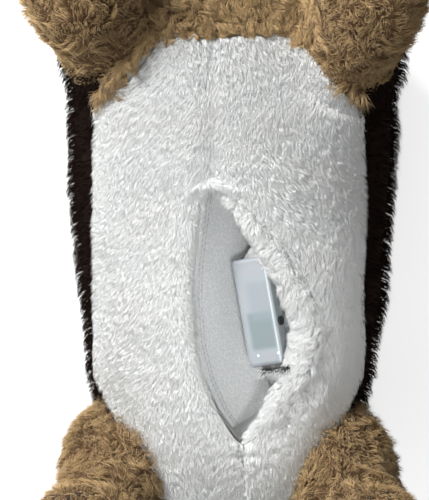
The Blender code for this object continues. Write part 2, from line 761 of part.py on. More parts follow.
def make_flap(loop_tape, thread):
    pivot = Vector((flap_hinge_x(), 0.0, FLAP_HINGE_Z))
    axis = add_axis("under_flap_axis", Matrix.Translation(pivot))
    rings = []
    for i in range(FLAP_ROWS + 1):
        place = i / FLAP_ROWS
        y = FLAP_HEAD_Y + (FLAP_TAIL_Y - FLAP_HEAD_Y) * place
        left = flap_left_x(y)
        right = FLAP_MIDDLE_X + FLAP_SPREAD_X * share_at(FLAP_RIGHT_SHARES, place)
        rings.append([
            flap_point(left, y), flap_point(right, y),
            flap_point(right, y, -FLAP_THICKNESS), flap_point(left, y, -FLAP_THICKNESS),
        ])
    add_object("under_flap", lofted(rings), loop_tape, axis)
    for label, offset in zip(("outer", "inner"), STITCH_ROW_OFFSETS):
        points = []
        y = FLAP_HEAD_Y - STITCH_LENGTH
        while y > FLAP_TAIL_Y + STITCH_LENGTH:
            points.append(flap_point(flap_left_x(y) + offset, y, SEAT_GAP + STITCH_RADIUS))
            y -= STITCH_PITCH
        add_object("flap_stitching_" + label, tube(points, STITCH_RADIUS), thread, axis)


# Electronic module, in its own frame: X across, -Y down its length, Z out of its front

def module_matrix():
    lean = Matrix.Rotation(MODULE_LEAN, 4, "Z")
    roll = Matrix.Rotation(-MODULE_ROLL, 4, "Y")
    return Matrix.Translation(MODULE_FRONT) @ lean @ roll


def module_block(inset, low_z, high_z, corner=0.0):
    half_x = MODULE_WIDTH / 2 - inset
    half_y = MODULE_LENGTH / 2 - inset
    return block(Vector((-half_x, -half_y, low_z)), Vector((half_x, half_y, high_z)), corner)


def door_y_range():
    low = -MODULE_LENGTH / 2 + DOOR_END_MARGIN
    return low, low + DOOR_LENGTH


def button_centre():
    """The push button's place on the module's right-hand wall."""
    return Vector((MODULE_WIDTH / 2, BUTTON_Y, -FRONT_CASE_DEPTH / 2))


def sideways(point):
    return Matrix.Translation(point) @ Matrix.Rotation(pi / 2, 4, "Y")


def make_cases(frosted, white_plastic, axis):
    corner = MODULE_CORNER
    front = add_object("module_front_case", module_block(0.0, -FRONT_CASE_DEPTH, 0.0, corner), frosted, axis)
    hollow = module_block(CASE_WALL, -FRONT_CASE_DEPTH - OVERRUN, -CASE_WALL)
    cut(front, as_cutter(add_object("front_case_hollow", hollow, None, axis)))
    radius = BUTTON_RADIUS + BUTTON_CLEARANCE
    hole = turned([(radius, -2 * CASE_WALL), (radius, OVERRUN)], SMALL_SIDES)
    cut(front, as_cutter(add_object("button_hole", hole, None, axis, sideways(button_centre()))))
    top = -FRONT_CASE_DEPTH - SEAT_GAP
    back = add_object("module_back_case", module_block(0.0, -MODULE_DEPTH, top, corner), white_plastic, axis)
    hollow = module_block(CASE_WALL, -MODULE_DEPTH + CASE_WALL, top + OVERRUN)
    cut(back, as_cutter(add_object("back_case_hollow", hollow, None, axis)))
    low_y, high_y = door_y_range()
    gap = SEAT_GAP
    low = Vector((-DOOR_WIDTH / 2 - gap, low_y - gap, -MODULE_DEPTH - OVERRUN))
    high = Vector((DOOR_WIDTH / 2 + gap, high_y + gap, -MODULE_DEPTH + CASE_WALL + OVERRUN / 4))
    cut(back, as_cutter(add_object("door_hole", block(low, high), None, axis)))


def make_battery_door(white_plastic, steel, axis):
    low_y, high_y = door_y_range()
    low = Vector((-DOOR_WIDTH / 2, low_y, -MODULE_DEPTH))
    high = Vector((DOOR_WIDTH / 2, high_y, -MODULE_DEPTH + DOOR_THICKNESS))
    door = add_object("battery_door", block(low, high), white_plastic, axis)
    place = Vector((0.0, high_y - 2 * SCREW_HEAD_RADIUS, -MODULE_DEPTH))
    hole_radius = SCREW_RADIUS + SEAT_GAP
    sink = SCREW_HEAD_HEIGHT
    head_hole = SCREW_HEAD_RADIUS + SEAT_GAP
    profile = [
        (head_hole, -OVERRUN), (head_hole, sink), (hole_radius, sink), (hole_radius, DOOR_THICKNESS + OVERRUN),
    ]
    matrix = Matrix.Translation(place)
    cut(door, as_cutter(add_object("screw_hole", turned(profile, SMALL_SIDES), None, axis, matrix)))
    length = 3 * DOOR_THICKNESS
    head_top = sink - SEAT_GAP
    shape = [(SCREW_HEAD_RADIUS, 0.0), (SCREW_HEAD_RADIUS, head_top), (SCREW_RADIUS, head_top), (SCREW_RADIUS, length)]
    add_object("door_screw", turned(shape, SMALL_SIDES), steel, axis, matrix)


def make_electronics(board_green, steel, black, clear, axis):
    half_x = MODULE_WIDTH / 2 - CASE_WALL - BOARD_MARGIN
    half_y = MODULE_LENGTH / 2 - CASE_WALL - BOARD_MARGIN
    top = -BOARD_DEPTH
    low = Vector((-half_x, -half_y, top - BOARD_THICKNESS))
    button_notch = half_x - (BUTTON_DEPTH - CASE_WALL - BOARD_MARGIN) - BUTTON_TRAVEL
    add_object("circuit_board", block(low, Vector((button_notch, half_y, top))), board_green, axis)
    under = top - BOARD_THICKNESS - SEAT_GAP
    pitch = CELL_HEIGHT + SEAT_GAP
    cell_z = under - CONTACT_THICKNESS - CELL_RADIUS
    start = CELL_Y - pitch * (CELL_COUNT - 1) / 2
    for i in range(CELL_COUNT):
        mesh = turned([(CELL_RADIUS, -CELL_HEIGHT / 2), (CELL_RADIUS, CELL_HEIGHT / 2)], ROUND_SIDES)
        turn = Matrix.Translation((0.0, start + pitch * i, cell_z)) @ Matrix.Rotation(pi / 2, 4, "X")
        add_object("button_cell_" + str(i + 1), mesh, steel, axis, turn)
    for label, side in (("rear", -1), ("front", 1)):
        y = CELL_Y + side * (pitch * CELL_COUNT / 2 + CONTACT_THICKNESS / 2 + SEAT_GAP / 2)
        half = Vector((CELL_RADIUS / 2, CONTACT_THICKNESS / 2, CELL_RADIUS / 2))
        middle = Vector((0.0, y, under - half.z))
        add_object("cell_contact_" + label, block(middle - half, middle + half), steel, axis)
    speaker = turned([(SPEAKER_RADIUS, -SPEAKER_HEIGHT), (SPEAKER_RADIUS, 0.0)], ROUND_SIDES)
    add_object("speaker", speaker, black, axis, Matrix.Translation((0.0, SPEAKER_Y, under)))
    base = top + SEAT_GAP
    for label, side in (("right", -1), ("left", 1)):
        profile = [(LED_RADIUS, 0.0), (LED_RADIUS, LED_HEIGHT / 2), (LED_RADIUS / 2, LED_HEIGHT)]
        place = Matrix.Translation((side * LED_SPACING / 2, LED_Y, base))
        add_object("indicator_led_" + label, turned(profile, SMALL_SIDES), clear, axis, place)


def make_push_button(black, module_axis):
    frame = sideways(button_centre())
    axis = add_axis("push_button_axis", frame)
    axis.parent = module_axis
    flange_top = -CASE_WALL - SEAT_GAP
    flange_low = flange_top - BUTTON_FLANGE_HEIGHT
    profile = [
        (BUTTON_RADIUS, -BUTTON_DEPTH), (BUTTON_RADIUS, flange_low), (BUTTON_FLANGE_RADIUS, flange_low),
        (BUTTON_FLANGE_RADIUS, flange_top), (BUTTON_RADIUS, flange_top), (BUTTON_RADIUS, BUTTON_PROUD * 0.7),
        (BUTTON_RADIUS * 0.8, BUTTON_PROUD),
    ]
    add_object("push_button", turned(profile, SMALL_SIDES), black, axis)


def make_module(frosted, white_plastic, black, steel, board_green, clear):
    axis = add_axis("module_axis", module_matrix())
    make_cases(frosted, white_plastic, axis)
    make_battery_door(white_plastic, steel, axis)
    make_electronics(board_green, steel, black, clear, axis)
    make_push_button(black, axis)
    return axis


def make_wadding(filling, module_axis):
    """A lump of filling on the pocket's floor, whose top fits the module's back."""
    low = WADDING_LOW + Vector((0.0, 0.0, POCKET_FLOOR_Z + LINING_GAP + LINING_THICKNESS + SEAT_GAP))
    lump = add_object("pocket_wadding", block(low, WADDING_HIGH, MODULE_CORNER), filling)
    room = module_block(-WADDING_REACH, -MODULE_DEPTH - SEAT_GAP, WADDING_REACH)
    cut(lump, as_cutter(add_object("module_room", room, None, module_axis)))


# Limbs, neck and tail

def limb_places():
    return (
        ("front_leg_left", FRONT_LEFT_PIVOT, FRONT_LEFT_AIM),
        ("front_leg_right", FRONT_RIGHT_PIVOT, FRONT_RIGHT_AIM),
        ("hind_leg_left", HIND_LEFT_PIVOT, HIND_LEFT_AIM),
        ("hind_leg_right", HIND_RIGHT_PIVOT, HIND_RIGHT_AIM),
    )


def leg_sockets():
    return [
        socket(name, limb_frame(pivot, aim), LEG_BALL_RADIUS, LEG_SHAFT_RADIUS, LEG_SWING, LEG_BALL_RADIUS)
        for name, pivot, aim in limb_places()
    ]


def make_legs(tan_pile, thread):
    for name, pivot, aim in limb_places():
        frame = limb_frame(pivot, aim)
        tip = Vector((0.0, PAW_FORWARD, LEG_LENGTH))
        leg = stuffed_limb(LEG_BALL_RADIUS, leg_stations(), LIMB_SIDES, BALL_STEPS, tip)
        add_object(name, leg, tan_pile, matrix=frame)
        add_object(name.replace("leg", "toe_stitching"), toe_thread(), thread, matrix=frame)


def make_neck(tan_pile):
    length = NECK_REACH.length
    lower = ball_profile(NECK_BALL_RADIUS, shaft_spread(NECK_BALL_RADIUS, NECK_SHAFT_RADIUS), BALL_STEPS)
    upper = ball_profile(NECK_TOP_BALL_RADIUS, shaft_spread(NECK_TOP_BALL_RADIUS, NECK_SHAFT_RADIUS), BALL_STEPS)
    profile = lower + [(radius, length - height) for radius, height in reversed(upper)]
    rings = [circle(radius, LIMB_SIDES, Vector((0.0, 0.0, height))) for radius, height in profile]
    low = Vector((0.0, 0.0, -NECK_BALL_RADIUS))
    high = Vector((0.0, 0.0, length + NECK_TOP_BALL_RADIUS))
    add_object("neck", lofted(rings, low, high), tan_pile, matrix=limb_frame(NECK_PIVOT, NECK_REACH))


def tail_frame():
    return placed(TAIL_PIVOT, TAIL_AIM, Vector((0.0, 0.0, 1.0)))


def make_tail(material):
    shares = ((0.25, 0.0), (0.45, 0.10), (0.65, 0.35), (0.82, 0.68), (0.94, 0.92))
    stations = [(TAIL_ROOT_RADIUS, 0.0, 0.0)]
    for share, curl in shares:
        radius = TAIL_ROOT_RADIUS + (TAIL_TIP_RADIUS - TAIL_ROOT_RADIUS) * share
        stations.append((radius, TAIL_LENGTH * share, TAIL_CURL * curl))
    tip = Vector((0.0, TAIL_CURL, TAIL_LENGTH))
    tail = stuffed_limb(TAIL_BALL_RADIUS, stations, SMALL_SIDES, BALL_STEPS - 1, tip)
    add_object("tail", tail, material, matrix=tail_frame())


# Head, in its own frame: X to the dog's left, Y to the crown, Z out of the face

def head_matrix():
    face = Vector((0.0, cos(FACE_LIFT), sin(FACE_LIFT)))
    crown = Vector((0.0, sin(FACE_LIFT), -cos(FACE_LIFT)))
    turn = Matrix((Vector((1.0, 0.0, 0.0)), crown, face)).transposed()
    return Matrix.Translation(HEAD_CENTRE) @ turn.to_4x4()


def bulge(x, y, halves, centre=Vector()):
    """A frame on the front of an ellipsoid, whose Z points out of it."""
    half_x, half_y, half_z = halves
    z = half_z * (1.0 - (x / half_x) ** 2 - (y / half_y) ** 2) ** 0.5
    normal = Vector((x / half_x**2, y / half_y**2, z / half_z**2))
    return placed(centre + Vector((x, y, z)), normal)


def head_halves():
    return HEAD_HALF_WIDTH, HEAD_HALF_CROWN, HEAD_HALF_FACE


def muzzle_halves():
    return MUZZLE_HALF_WIDTH, MUZZLE_HALF_HEIGHT, MUZZLE_HALF_LENGTH


def muzzle_centre():
    return Vector((0.0, -MUZZLE_DROP, MUZZLE_FACE))


def dome_on_shank(radius, height):
    """A plastic eye or nose with its shank, resting on the plane Z = 0."""
    profile = [(SHANK_RADIUS, -SHANK_LENGTH), (SHANK_RADIUS, SKIN_GAP), (radius, SKIN_GAP)]
    for step in range(1, 5):
        angle = step * pi / 10
        profile.append((radius * cos(angle), SKIN_GAP + height * sin(angle)))
    rings = [circle(ring_radius, ROUND_SIDES, Vector((0.0, 0.0, z))) for ring_radius, z in profile]
    return lofted(rings, None, Vector((0.0, 0.0, SKIN_GAP + height)))


def washer():
    """The lock washer on a shank, behind the fabric."""
    inner = SHANK_RADIUS + SHANK_CLEARANCE / 2
    low = -WASHER_DEPTH - WASHER_THICKNESS
    corners = ((WASHER_RADIUS, low), (WASHER_RADIUS, -WASHER_DEPTH), (inner, -WASHER_DEPTH), (inner, low))
    mesh = bmesh.new()
    sides = ROUND_SIDES
    rows = [[mesh.verts.new(p) for p in circle(radius, sides, Vector((0.0, 0.0, z)))] for radius, z in corners]
    for first, second in zip(rows, rows[1:] + rows[:1]):
        for i in range(sides):
            mesh.faces.new((first[i], first[(i + 1) % sides], second[(i + 1) % sides], second[i]))
    return mesh


def shank_hole():
    wide = WASHER_RADIUS + SHANK_CLEARANCE
    narrow = SHANK_RADIUS + SHANK_CLEARANCE
    low = -WASHER_DEPTH - WASHER_THICKNESS - SHANK_CLEARANCE
    high = -WASHER_DEPTH + SHANK_CLEARANCE
    return turned([
        (narrow, -SHANK_LENGTH - SHANK_CLEARANCE), (narrow, low), (wide, low),
        (wide, high), (narrow, high), (narrow, OVERRUN),
    ], ROUND_SIDES)


def ear_frame(side):
    """The ear's frame at its pivot: Z to its tip and Y out of its inner face."""
    aim = Vector((side * EAR_AIM.x, EAR_AIM.y, EAR_AIM.z)).normalized()
    reach = 1.0 / ((aim.x / HEAD_HALF_WIDTH) ** 2 + (aim.y / HEAD_HALF_CROWN) ** 2) ** 0.5
    return placed(aim * (reach - EAR_ROOT_SINK), aim, Vector((0.0, 0.0, 1.0)))


def make_ear(side, label, tan_pile, pink, head_axis):
    frame = ear_frame(side)
    axis = add_axis("ear_" + label + "_axis", frame)
    axis.parent = head_axis
    profile = ball_profile(EAR_BALL_RADIUS, shaft_spread(EAR_BALL_RADIUS, EAR_NECK_HALF_WIDTH), BALL_STEPS - 1)
    rings = [circle(radius, SMALL_SIDES, Vector((0.0, 0.0, height))) for radius, height in profile]
    for lift, width, thickness in EAR_SHARES:
        half = EAR_HALF_WIDTH * width
        centre = Vector((0.0, 0.0, EAR_LENGTH * lift))
        rings.append(circle(half, SMALL_SIDES, centre, EAR_HALF_THICKNESS * thickness / half))
    ends = Vector((0.0, 0.0, -EAR_BALL_RADIUS)), Vector((0.0, 0.0, EAR_LENGTH))
    add_object("ear_" + label, lofted(rings, *ends), tan_pile, axis)
    slabs = []
    for lift, width, thickness in EAR_SHARES[1:-1]:
        half = EAR_HALF_WIDTH * width * INNER_EAR_SHARE
        low = EAR_HALF_THICKNESS + SKIN_GAP
        high = low + INNER_EAR_THICKNESS
        z = EAR_LENGTH * lift
        slabs.append([
            Vector((-half, low, z)), Vector((half, low, z)), Vector((half, high, z)), Vector((-half, high, z)),
        ])
    add_object("inner_ear_" + label, lofted(slabs), pink, axis)


def muzzle_thread(places):
    """A thread through places on the front of the muzzle."""
    lift = Vector((0.0, 0.0, SKIN_GAP + MOUTH_THREAD_RADIUS))
    points = [bulge(x, y, muzzle_halves(), muzzle_centre()) @ lift for x, y in places]
    return tube(points, MOUTH_THREAD_RADIUS)


def make_mouth(thread, head_axis):
    """A short upright thread under the nose, and the mouth below it."""
    start = NOSE_RISE - NOSE_RADIUS - 2 * MOUTH_THREAD_RADIUS
    low = -MUZZLE_HALF_HEIGHT / 2
    above = low + 3 * MOUTH_THREAD_RADIUS
    lip = muzzle_thread([(0.0, start), (0.0, (start + above) / 2), (0.0, above)])
    add_object("lip_stitching", lip, thread, head_axis)
    half = MOUTH_HALF_WIDTH
    dip = low - MOUTH_THREAD_RADIUS
    mouth = muzzle_thread([(-half, low), (-half / 2, dip), (0.0, low), (half / 2, dip), (half, low)])
    add_object("mouth_stitching", mouth, thread, head_axis)


def make_head(tan_pile, black, white_plastic, pink):
    head_axis = add_axis("head_axis", head_matrix())
    head = add_object("head", ellipsoid(*head_halves(), 24, 14), tan_pile, head_axis)
    frame = limb_frame(HEAD_PIVOT, -NECK_REACH)
    radius = NECK_TOP_BALL_RADIUS
    cutters = [socket("head", frame, radius, NECK_SHAFT_RADIUS, HEAD_SWING, radius)]
    for side, label in ((1, "left"), (-1, "right")):
        frame = ear_frame(side)
        name = "ear_" + label
        radius = EAR_BALL_RADIUS
        cutters.append(socket(name, frame, radius, EAR_NECK_HALF_WIDTH, EAR_SWING, radius, head_axis))
        make_ear(side, label, tan_pile, pink, head_axis)
        frame = bulge(side * EYE_ACROSS, EYE_RISE, head_halves())
        add_object("eye_" + label, dome_on_shank(EYE_RADIUS, EYE_HEIGHT), black, head_axis, frame)
        add_object("eye_washer_" + label, washer(), white_plastic, head_axis, frame)
        cutters.append(as_cutter(add_object("eye_hole_" + label, shank_hole(), None, head_axis, frame)))
    for cutter in cutters:
        cut(head, cutter)
    make_muzzle(tan_pile, black, white_plastic, head_axis)


def make_muzzle(material, black, white_plastic, head_axis):
    mesh = ellipsoid(*muzzle_halves(), 22, 14)
    muzzle = add_object("muzzle", mesh, material, head_axis, Matrix.Translation(muzzle_centre()))
    room = ellipsoid(*(half + SEAT_GAP for half in head_halves()), 24, 14)
    frame = bulge(0.0, NOSE_RISE, muzzle_halves(), muzzle_centre())
    cut(muzzle, as_cutter(add_object("head_room", room, None, head_axis)))
    cut(muzzle, as_cutter(add_object("nose_hole", shank_hole(), None, head_axis, frame)))
    add_object("nose", dome_on_shank(NOSE_RADIUS, NOSE_HEIGHT), black, head_axis, frame)
    add_object("nose_washer", washer(), white_plastic, head_axis, frame)
    make_mouth(black, head_axis)


def build():
    for item in list(bpy.data.objects):
        bpy.data.objects.remove(item, do_unlink=True)
    white = finish("white_pile", (0.86, 0.86, 0.84), 0.85)
    brown = finish("dark_brown_pile", (0.035, 0.018, 0.014), 0.9)
    tan_pile = finish("tan_pile", (0.42, 0.27, 0.15), 0.9)
    pink = finish("ear_lining", (0.70, 0.42, 0.38), 0.9)
    loop_tape = finish("loop_tape", (0.66, 0.68, 0.69), 0.7)
    thread = finish("white_thread", (0.80, 0.80, 0.80), 0.6)
    brown_thread = finish("brown_thread", (0.08, 0.05, 0.03), 0.7)
    black = finish("black_plastic", (0.012, 0.012, 0.012), 0.2)
    frosted = finish("frosted_plastic", (0.72, 0.80, 0.83), 0.45)
    white_plastic = finish("white_plastic", (0.75, 0.77, 0.78), 0.5)
    steel = finish("steel", (0.62, 0.62, 0.62), 0.3, 1.0)
    green = finish("circuit_board_green", (0.02, 0.11, 0.09), 0.5)
    clear = finish("lamp_plastic", (0.85, 0.88, 0.90), 0.15)

    legs = leg_sockets()
    frame = limb_frame(NECK_PIVOT, NECK_REACH)
    neck = socket("neck", frame, NECK_BALL_RADIUS, NECK_SHAFT_RADIUS, NECK_SWING, NECK_BALL_RADIUS)
    radius = TAIL_BALL_RADIUS
    tail = socket("tail", tail_frame(), radius, TAIL_ROOT_RADIUS, TAIL_SWING, 2 * radius)
    make_torso(brown, [*legs, neck, tail])
    make_belly(white, tan_pile, legs)
    make_centre_seam(thread)
    make_pocket_lining(white)
    make_lip(white, loop_tape)
    make_flap(loop_tape, thread)
    module_axis = make_module(frosted, white_plastic, black, steel, green, clear)
    make_wadding(white, module_axis)
    make_legs(tan_pile, brown_thread)
    make_neck(tan_pile)
    make_head(tan_pile, black, white_plastic, pink)
    make_tail(tan_pile)


build()
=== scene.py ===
"""Visible model of a plush dog on its back: skins, pile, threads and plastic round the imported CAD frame.

Metres, in the frame's own axes: +Z is up, +Y points to the head and +X to the dog's own left.
"""

import logging
from dataclasses import dataclass, replace
from enum import Enum
from math import cos, pi, radians, sin, tan
from typing import Callable

import bpy
import numpy as np
from bpy.types import Material, Mesh, Node, NodeSocket, NodeTree, Object
from mathutils import Matrix, Vector


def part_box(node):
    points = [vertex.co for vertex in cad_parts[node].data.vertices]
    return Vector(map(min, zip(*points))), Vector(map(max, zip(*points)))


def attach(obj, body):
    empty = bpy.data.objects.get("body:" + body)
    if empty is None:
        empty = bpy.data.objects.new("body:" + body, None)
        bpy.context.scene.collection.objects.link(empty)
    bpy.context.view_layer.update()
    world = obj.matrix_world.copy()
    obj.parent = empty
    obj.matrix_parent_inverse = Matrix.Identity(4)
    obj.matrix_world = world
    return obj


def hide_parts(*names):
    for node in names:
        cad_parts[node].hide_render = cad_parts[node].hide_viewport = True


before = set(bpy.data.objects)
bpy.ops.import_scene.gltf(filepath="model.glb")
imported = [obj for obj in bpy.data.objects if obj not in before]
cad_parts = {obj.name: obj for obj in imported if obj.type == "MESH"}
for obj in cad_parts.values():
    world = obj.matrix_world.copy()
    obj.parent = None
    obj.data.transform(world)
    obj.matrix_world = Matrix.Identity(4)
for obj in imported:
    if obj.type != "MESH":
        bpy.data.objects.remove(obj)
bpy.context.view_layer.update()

Array = np.ndarray
Field = Callable[[Array], Array]

LOG = logging.getLogger("plush_dog")
FLOOR_CLEARANCE = 0.0004
LOCK_GRID = 2048


class Body(str, Enum):
    """CAD bodies that visible pieces ride on."""

    TORSO = "torso"
    LIP = "opening_lip"
    FLAP = "under_flap"
    MODULE = "module"
    NECK = "neck"
    HEAD = "head"
    EAR_LEFT = "ear_left"
    EAR_RIGHT = "ear_right"
    TAIL = "tail"


class Slot(str, Enum):
    """Material slots of the record that the scene's own pieces have."""

    WHITE_PILE = "white_pile"
    BROWN_PILE = "dark_brown_pile"
    TAN_PILE = "tan_pile"
    EAR_LINING = "ear_lining"
    LOOP_TAPE = "loop_tape"
    WHITE_LINING = "white_lining"
    WHITE_THREAD = "white_thread"


# Numbers that repeat the CAD source's sizes


@dataclass(frozen=True)
class TorsoForm:
    """The torso's rounded surface, as the CAD source has it."""

    middle_y: float = -0.006
    half_length: float = 0.166
    half_width: float = 0.086
    chest_widening: float = 0.015
    half_height: float = 0.0655
    rest_flat: float = 0.0005
    end_power: float = 3.2
    section_power: float = 2.4

    def end_share(self, y: Array) -> Array:
        """How full the section is at a Y, from 0 at the ends to 1 in the middle."""
        reach = np.minimum(np.abs(y - self.middle_y) / self.half_length, 1.0)
        return (1.0 - reach**self.end_power) ** (1.0 / self.end_power)

    def half_width_at(self, y: Array) -> Array:
        """Half the section's width at a Y."""
        along = (y - self.middle_y) / self.half_length
        return (self.half_width + self.chest_widening * along) * self.end_share(y)

    def point(self, angle: Array, y: Array) -> Array:
        """Points on the surface.

        Args:
            angle: 0 for the dog's left side and a quarter turn for the belly.
            y: Y of each place.

        Returns:
            The places.
        """
        power = 2.0 / self.section_power
        across = np.sign(np.cos(angle)) * np.abs(np.cos(angle)) ** power
        rise = np.sign(np.sin(angle)) * np.abs(np.sin(angle)) ** power
        height = self.half_height * self.end_share(y)
        z = self.half_height - self.rest_flat + rise * height
        return np.stack([across * self.half_width_at(y), y + 0.0 * angle, z], axis=-1)

    def belly_angle(self, x: Array, y: Array) -> Array:
        """The angle at which the upper surface has this X.

        Args:
            x: X of each place.
            y: Y of each place.

        Returns:
            Angles in radians.
        """
        share = np.clip(np.abs(x) / np.maximum(self.half_width_at(y), 1e-6), 0.0, 1.0)
        angle = np.arccos(share ** (self.section_power / 2.0))
        return np.where(x >= 0, angle, pi - angle)

    def belly(self, x: Array, y: Array) -> Array:
        """Points of the belly above an X and a Y."""
        return self.point(self.belly_angle(x, y), y)


@dataclass(frozen=True)
class OpeningForm:
    """The eye-shaped belly opening and the pocket below it."""

    head_y: float = 0.037
    tail_y: float = -0.110
    half_width: float = 0.0295
    middle_x: float = 0.0085
    under_lip: float = 0.0138
    floor_z: float = 0.066
    lining_top_z: float = 0.112
    end_slope: float = radians(65)
    end_depth: float = 0.0225
    belly_top_z: float = 0.1305
    right_places: tuple[float, ...] = (0.0, 0.03, 0.17, 0.32, 0.44, 0.60, 0.75, 0.87, 0.97, 1.0)
    right_shares: tuple[float, ...] = (-0.60, -0.81, -0.90, -0.99, -1.0, -0.95, -0.80, -0.56, -0.22, -0.05)
    left_places: tuple[float, ...] = (0.0, 0.03, 0.09, 0.18, 0.30, 0.42, 0.55, 0.65, 0.72, 0.81, 0.91, 1.0)
    left_shares: tuple[float, ...] = (-0.56, -0.40, -0.15, 0.12, 0.52, 0.80, 1.0, 0.93, 0.83, 0.60, 0.32, 0.0)

    def place(self, y: Array) -> Array:
        """How far a Y lies along the opening, from 0 at the head end to 1 at the tail end."""
        return (self.head_y - np.asarray(y, float)) / (self.head_y - self.tail_y)

    def right_x(self, y: Array) -> Array:
        """X of the edge on the dog's right."""
        share = np.interp(self.place(y), self.right_places, self.right_shares)
        return self.middle_x + self.half_width * share

    def left_x(self, y: Array) -> Array:
        """X of the edge on the dog's left, inside the lip."""
        share = np.interp(self.place(y), self.left_places, self.left_shares)
        return self.middle_x + self.half_width * share

    def lip_share(self, y: Array) -> Array:
        """The lip's size as a share, which falls to 0 at both ends."""
        return np.clip(1.0 - np.abs(2.0 * self.place(y) - 1.0) ** 4, 0.0, 1.0)

    def wall_x(self, y: Array) -> Array:
        """X of the pocket's wall under the lip."""
        return self.left_x(y) + self.under_lip * self.lip_share(y)

    def seam_x(self, y: float) -> float:
        """X of the belly seam before and behind the opening."""
        end = self.head_y if y > self.head_y else self.tail_y
        return float(self.right_x(end) + self.left_x(end)) / 2


@dataclass(frozen=True)
class FlapForm:
    """The tape flap under the opening's right edge."""

    slope: float = radians(48)
    hinge_z: float = 0.118
    thickness: float = 0.0010
    edge_gap: float = 0.0008
    room: float = 0.006
    taper_y: float = -0.052
    tail_y: float = -0.088

    @property
    def inset(self) -> float:
        """From the pocket's wall to the flap's upper edge."""
        return self.edge_gap + self.thickness * sin(self.slope)

    def hinge_x(self, opening: OpeningForm) -> float:
        """X of the line that the flap swings about."""
        return opening.middle_x - opening.half_width + self.inset

    def point(self, opening: OpeningForm, x: Array, y: Array, lift: Array) -> Array:
        """Points above the flap's upper side.

        Args:
            opening: The opening that the flap is sewn into.
            x: X of each place.
            y: Y of each place.
            lift: How far above the side it is.

        Returns:
            The places.
        """
        along = x - self.hinge_x(opening)
        z = self.hinge_z - along * tan(self.slope) + cos(self.slope) * lift
        return np.stack([x + sin(self.slope) * lift, y + 0.0 * x, z], axis=-1)


@dataclass(frozen=True)
class ShoulderForm:
    """Fullness of the body round the balls of the front legs."""

    centers: tuple[tuple[float, float, float], ...] = ((0.060, 0.108, 0.095), (-0.062, 0.114, 0.095))
    radius: float = 0.0335
    softness: float = 0.005

    def filled(self, points: Array) -> Array:
        """The points with those near a ball pushed out round it.

        Args:
            points: N x 3 places in metres.

        Returns:
            The places after it.
        """
        for center in self.centers:
            away = points - np.array(center)
            reach = np.maximum(np.linalg.norm(away, axis=-1, keepdims=True), 1e-6)
            step = reach - self.radius
            full = (reach + self.radius + np.sqrt(step**2 + self.softness**2)) / 2
            points = np.array(center) + away / reach * full
        return points


TORSO = TorsoForm()
SHOULDERS = ShoulderForm()
OPENING = OpeningForm()
FLAP = FlapForm()


# Noise and frames


@dataclass(frozen=True)
class Waves:
    """Smooth noise made of a few sine waves with seeded directions."""

    size: float
    seed: int
    count: int = 7

    def scalar(self, points: Array) -> Array:
        """One value from about -1 to 1 at each point.

        Args:
            points: N x 3 places in metres.

        Returns:
            N values.
        """
        rng = np.random.default_rng(self.seed)
        directions = rng.normal(size=(self.count, 3))
        directions *= (2 * pi / self.size) / np.linalg.norm(directions, axis=1, keepdims=True)
        directions *= rng.uniform(0.55, 1.45, (self.count, 1))
        phases = rng.uniform(0.0, 2 * pi, self.count)
        return np.sin(points @ directions.T + phases).sum(axis=1) / self.count**0.5 / 1.2

    def vector(self, points: Array) -> Array:
        """Three independent values at each point."""
        parts = [Waves(self.size, self.seed + 101 * i, self.count).scalar(points) for i in range(3)]
        return np.stack(parts, axis=-1)


def unit(vectors: Array) -> Array:
    """The vectors at length 1."""
    return vectors / np.maximum(np.linalg.norm(vectors, axis=-1, keepdims=True), 1e-12)


def placed(point: Vector, aim: Vector, up: Vector) -> Matrix:
    """A matrix whose +Z is the aim, with its +Y turned to the up direction.

    Args:
        point: Where the matrix starts.
        aim: The way its +Z points.
        up: The way its +Y leans.

    Returns:
        The matrix.
    """
    z_axis = aim.normalized()
    x_axis = up.cross(z_axis).normalized()
    turned = Matrix((x_axis, z_axis.cross(x_axis), z_axis)).transposed()
    return Matrix.Translation(point) @ turned.to_4x4()


def moved(matrix: Matrix, points: Array) -> Array:
    """Points taken through a matrix."""
    values = np.array(matrix, float)
    return points @ values[:3, :3].T + values[:3, 3]


# Meshes


@dataclass
class Surface:
    """A mesh in arrays: places and faces of three or four corners."""

    points: Array
    faces: list[tuple[int, ...]]

    def triangles(self) -> Array:
        """The faces as triangles."""
        found = [(f[0], f[i], f[i + 1]) for f in self.faces for i in range(1, len(f) - 1)]
        return np.array(found, int)

    def normals(self) -> Array:
        """A normal at each point, from the faces round it.

        Returns:
            N x 3 directions.
        """
        tris = self.triangles()
        corners = self.points[tris]
        flat = np.cross(corners[:, 1] - corners[:, 0], corners[:, 2] - corners[:, 0])
        total = np.zeros_like(self.points)
        for i in range(3):
            np.add.at(total, tris[:, i], flat)
        return unit(total)

    def area(self) -> float:
        """The whole area in square metres."""
        corners = self.points[self.triangles()]
        flat = np.cross(corners[:, 1] - corners[:, 0], corners[:, 2] - corners[:, 0])
        return float(np.linalg.norm(flat, axis=1).sum() / 2)

    def part(self, keep: Array) -> "Surface":
        """The faces whose every corner is kept."""
        return Surface(self.points, [f for f in self.faces if all(keep[i] for i in f)])

    def puffed(self, waves: Waves, height: float) -> "Surface":
        """The surface with its points moved in and out by noise."""
        lift = waves.scalar(self.points)[:, None] * height
        return Surface(self.points + self.normals() * lift, self.faces)


def grid(rows: Array, wrap: bool = False) -> Surface:
    """A surface through rows of points.

    Args:
        rows: Rows x columns x 3 places.
        wrap: Whether the last column joins the first.

    Returns:
        The surface.
    """
    count, width = rows.shape[:2]
    faces = []
    for i in range(count - 1):
        for j in range(width if wrap else width - 1):
            k = (j + 1) % width
            faces.append((i * width + j, i * width + k, (i + 1) * width + k, (i + 1) * width + j))
    return Surface(rows.reshape(-1, 3), faces)


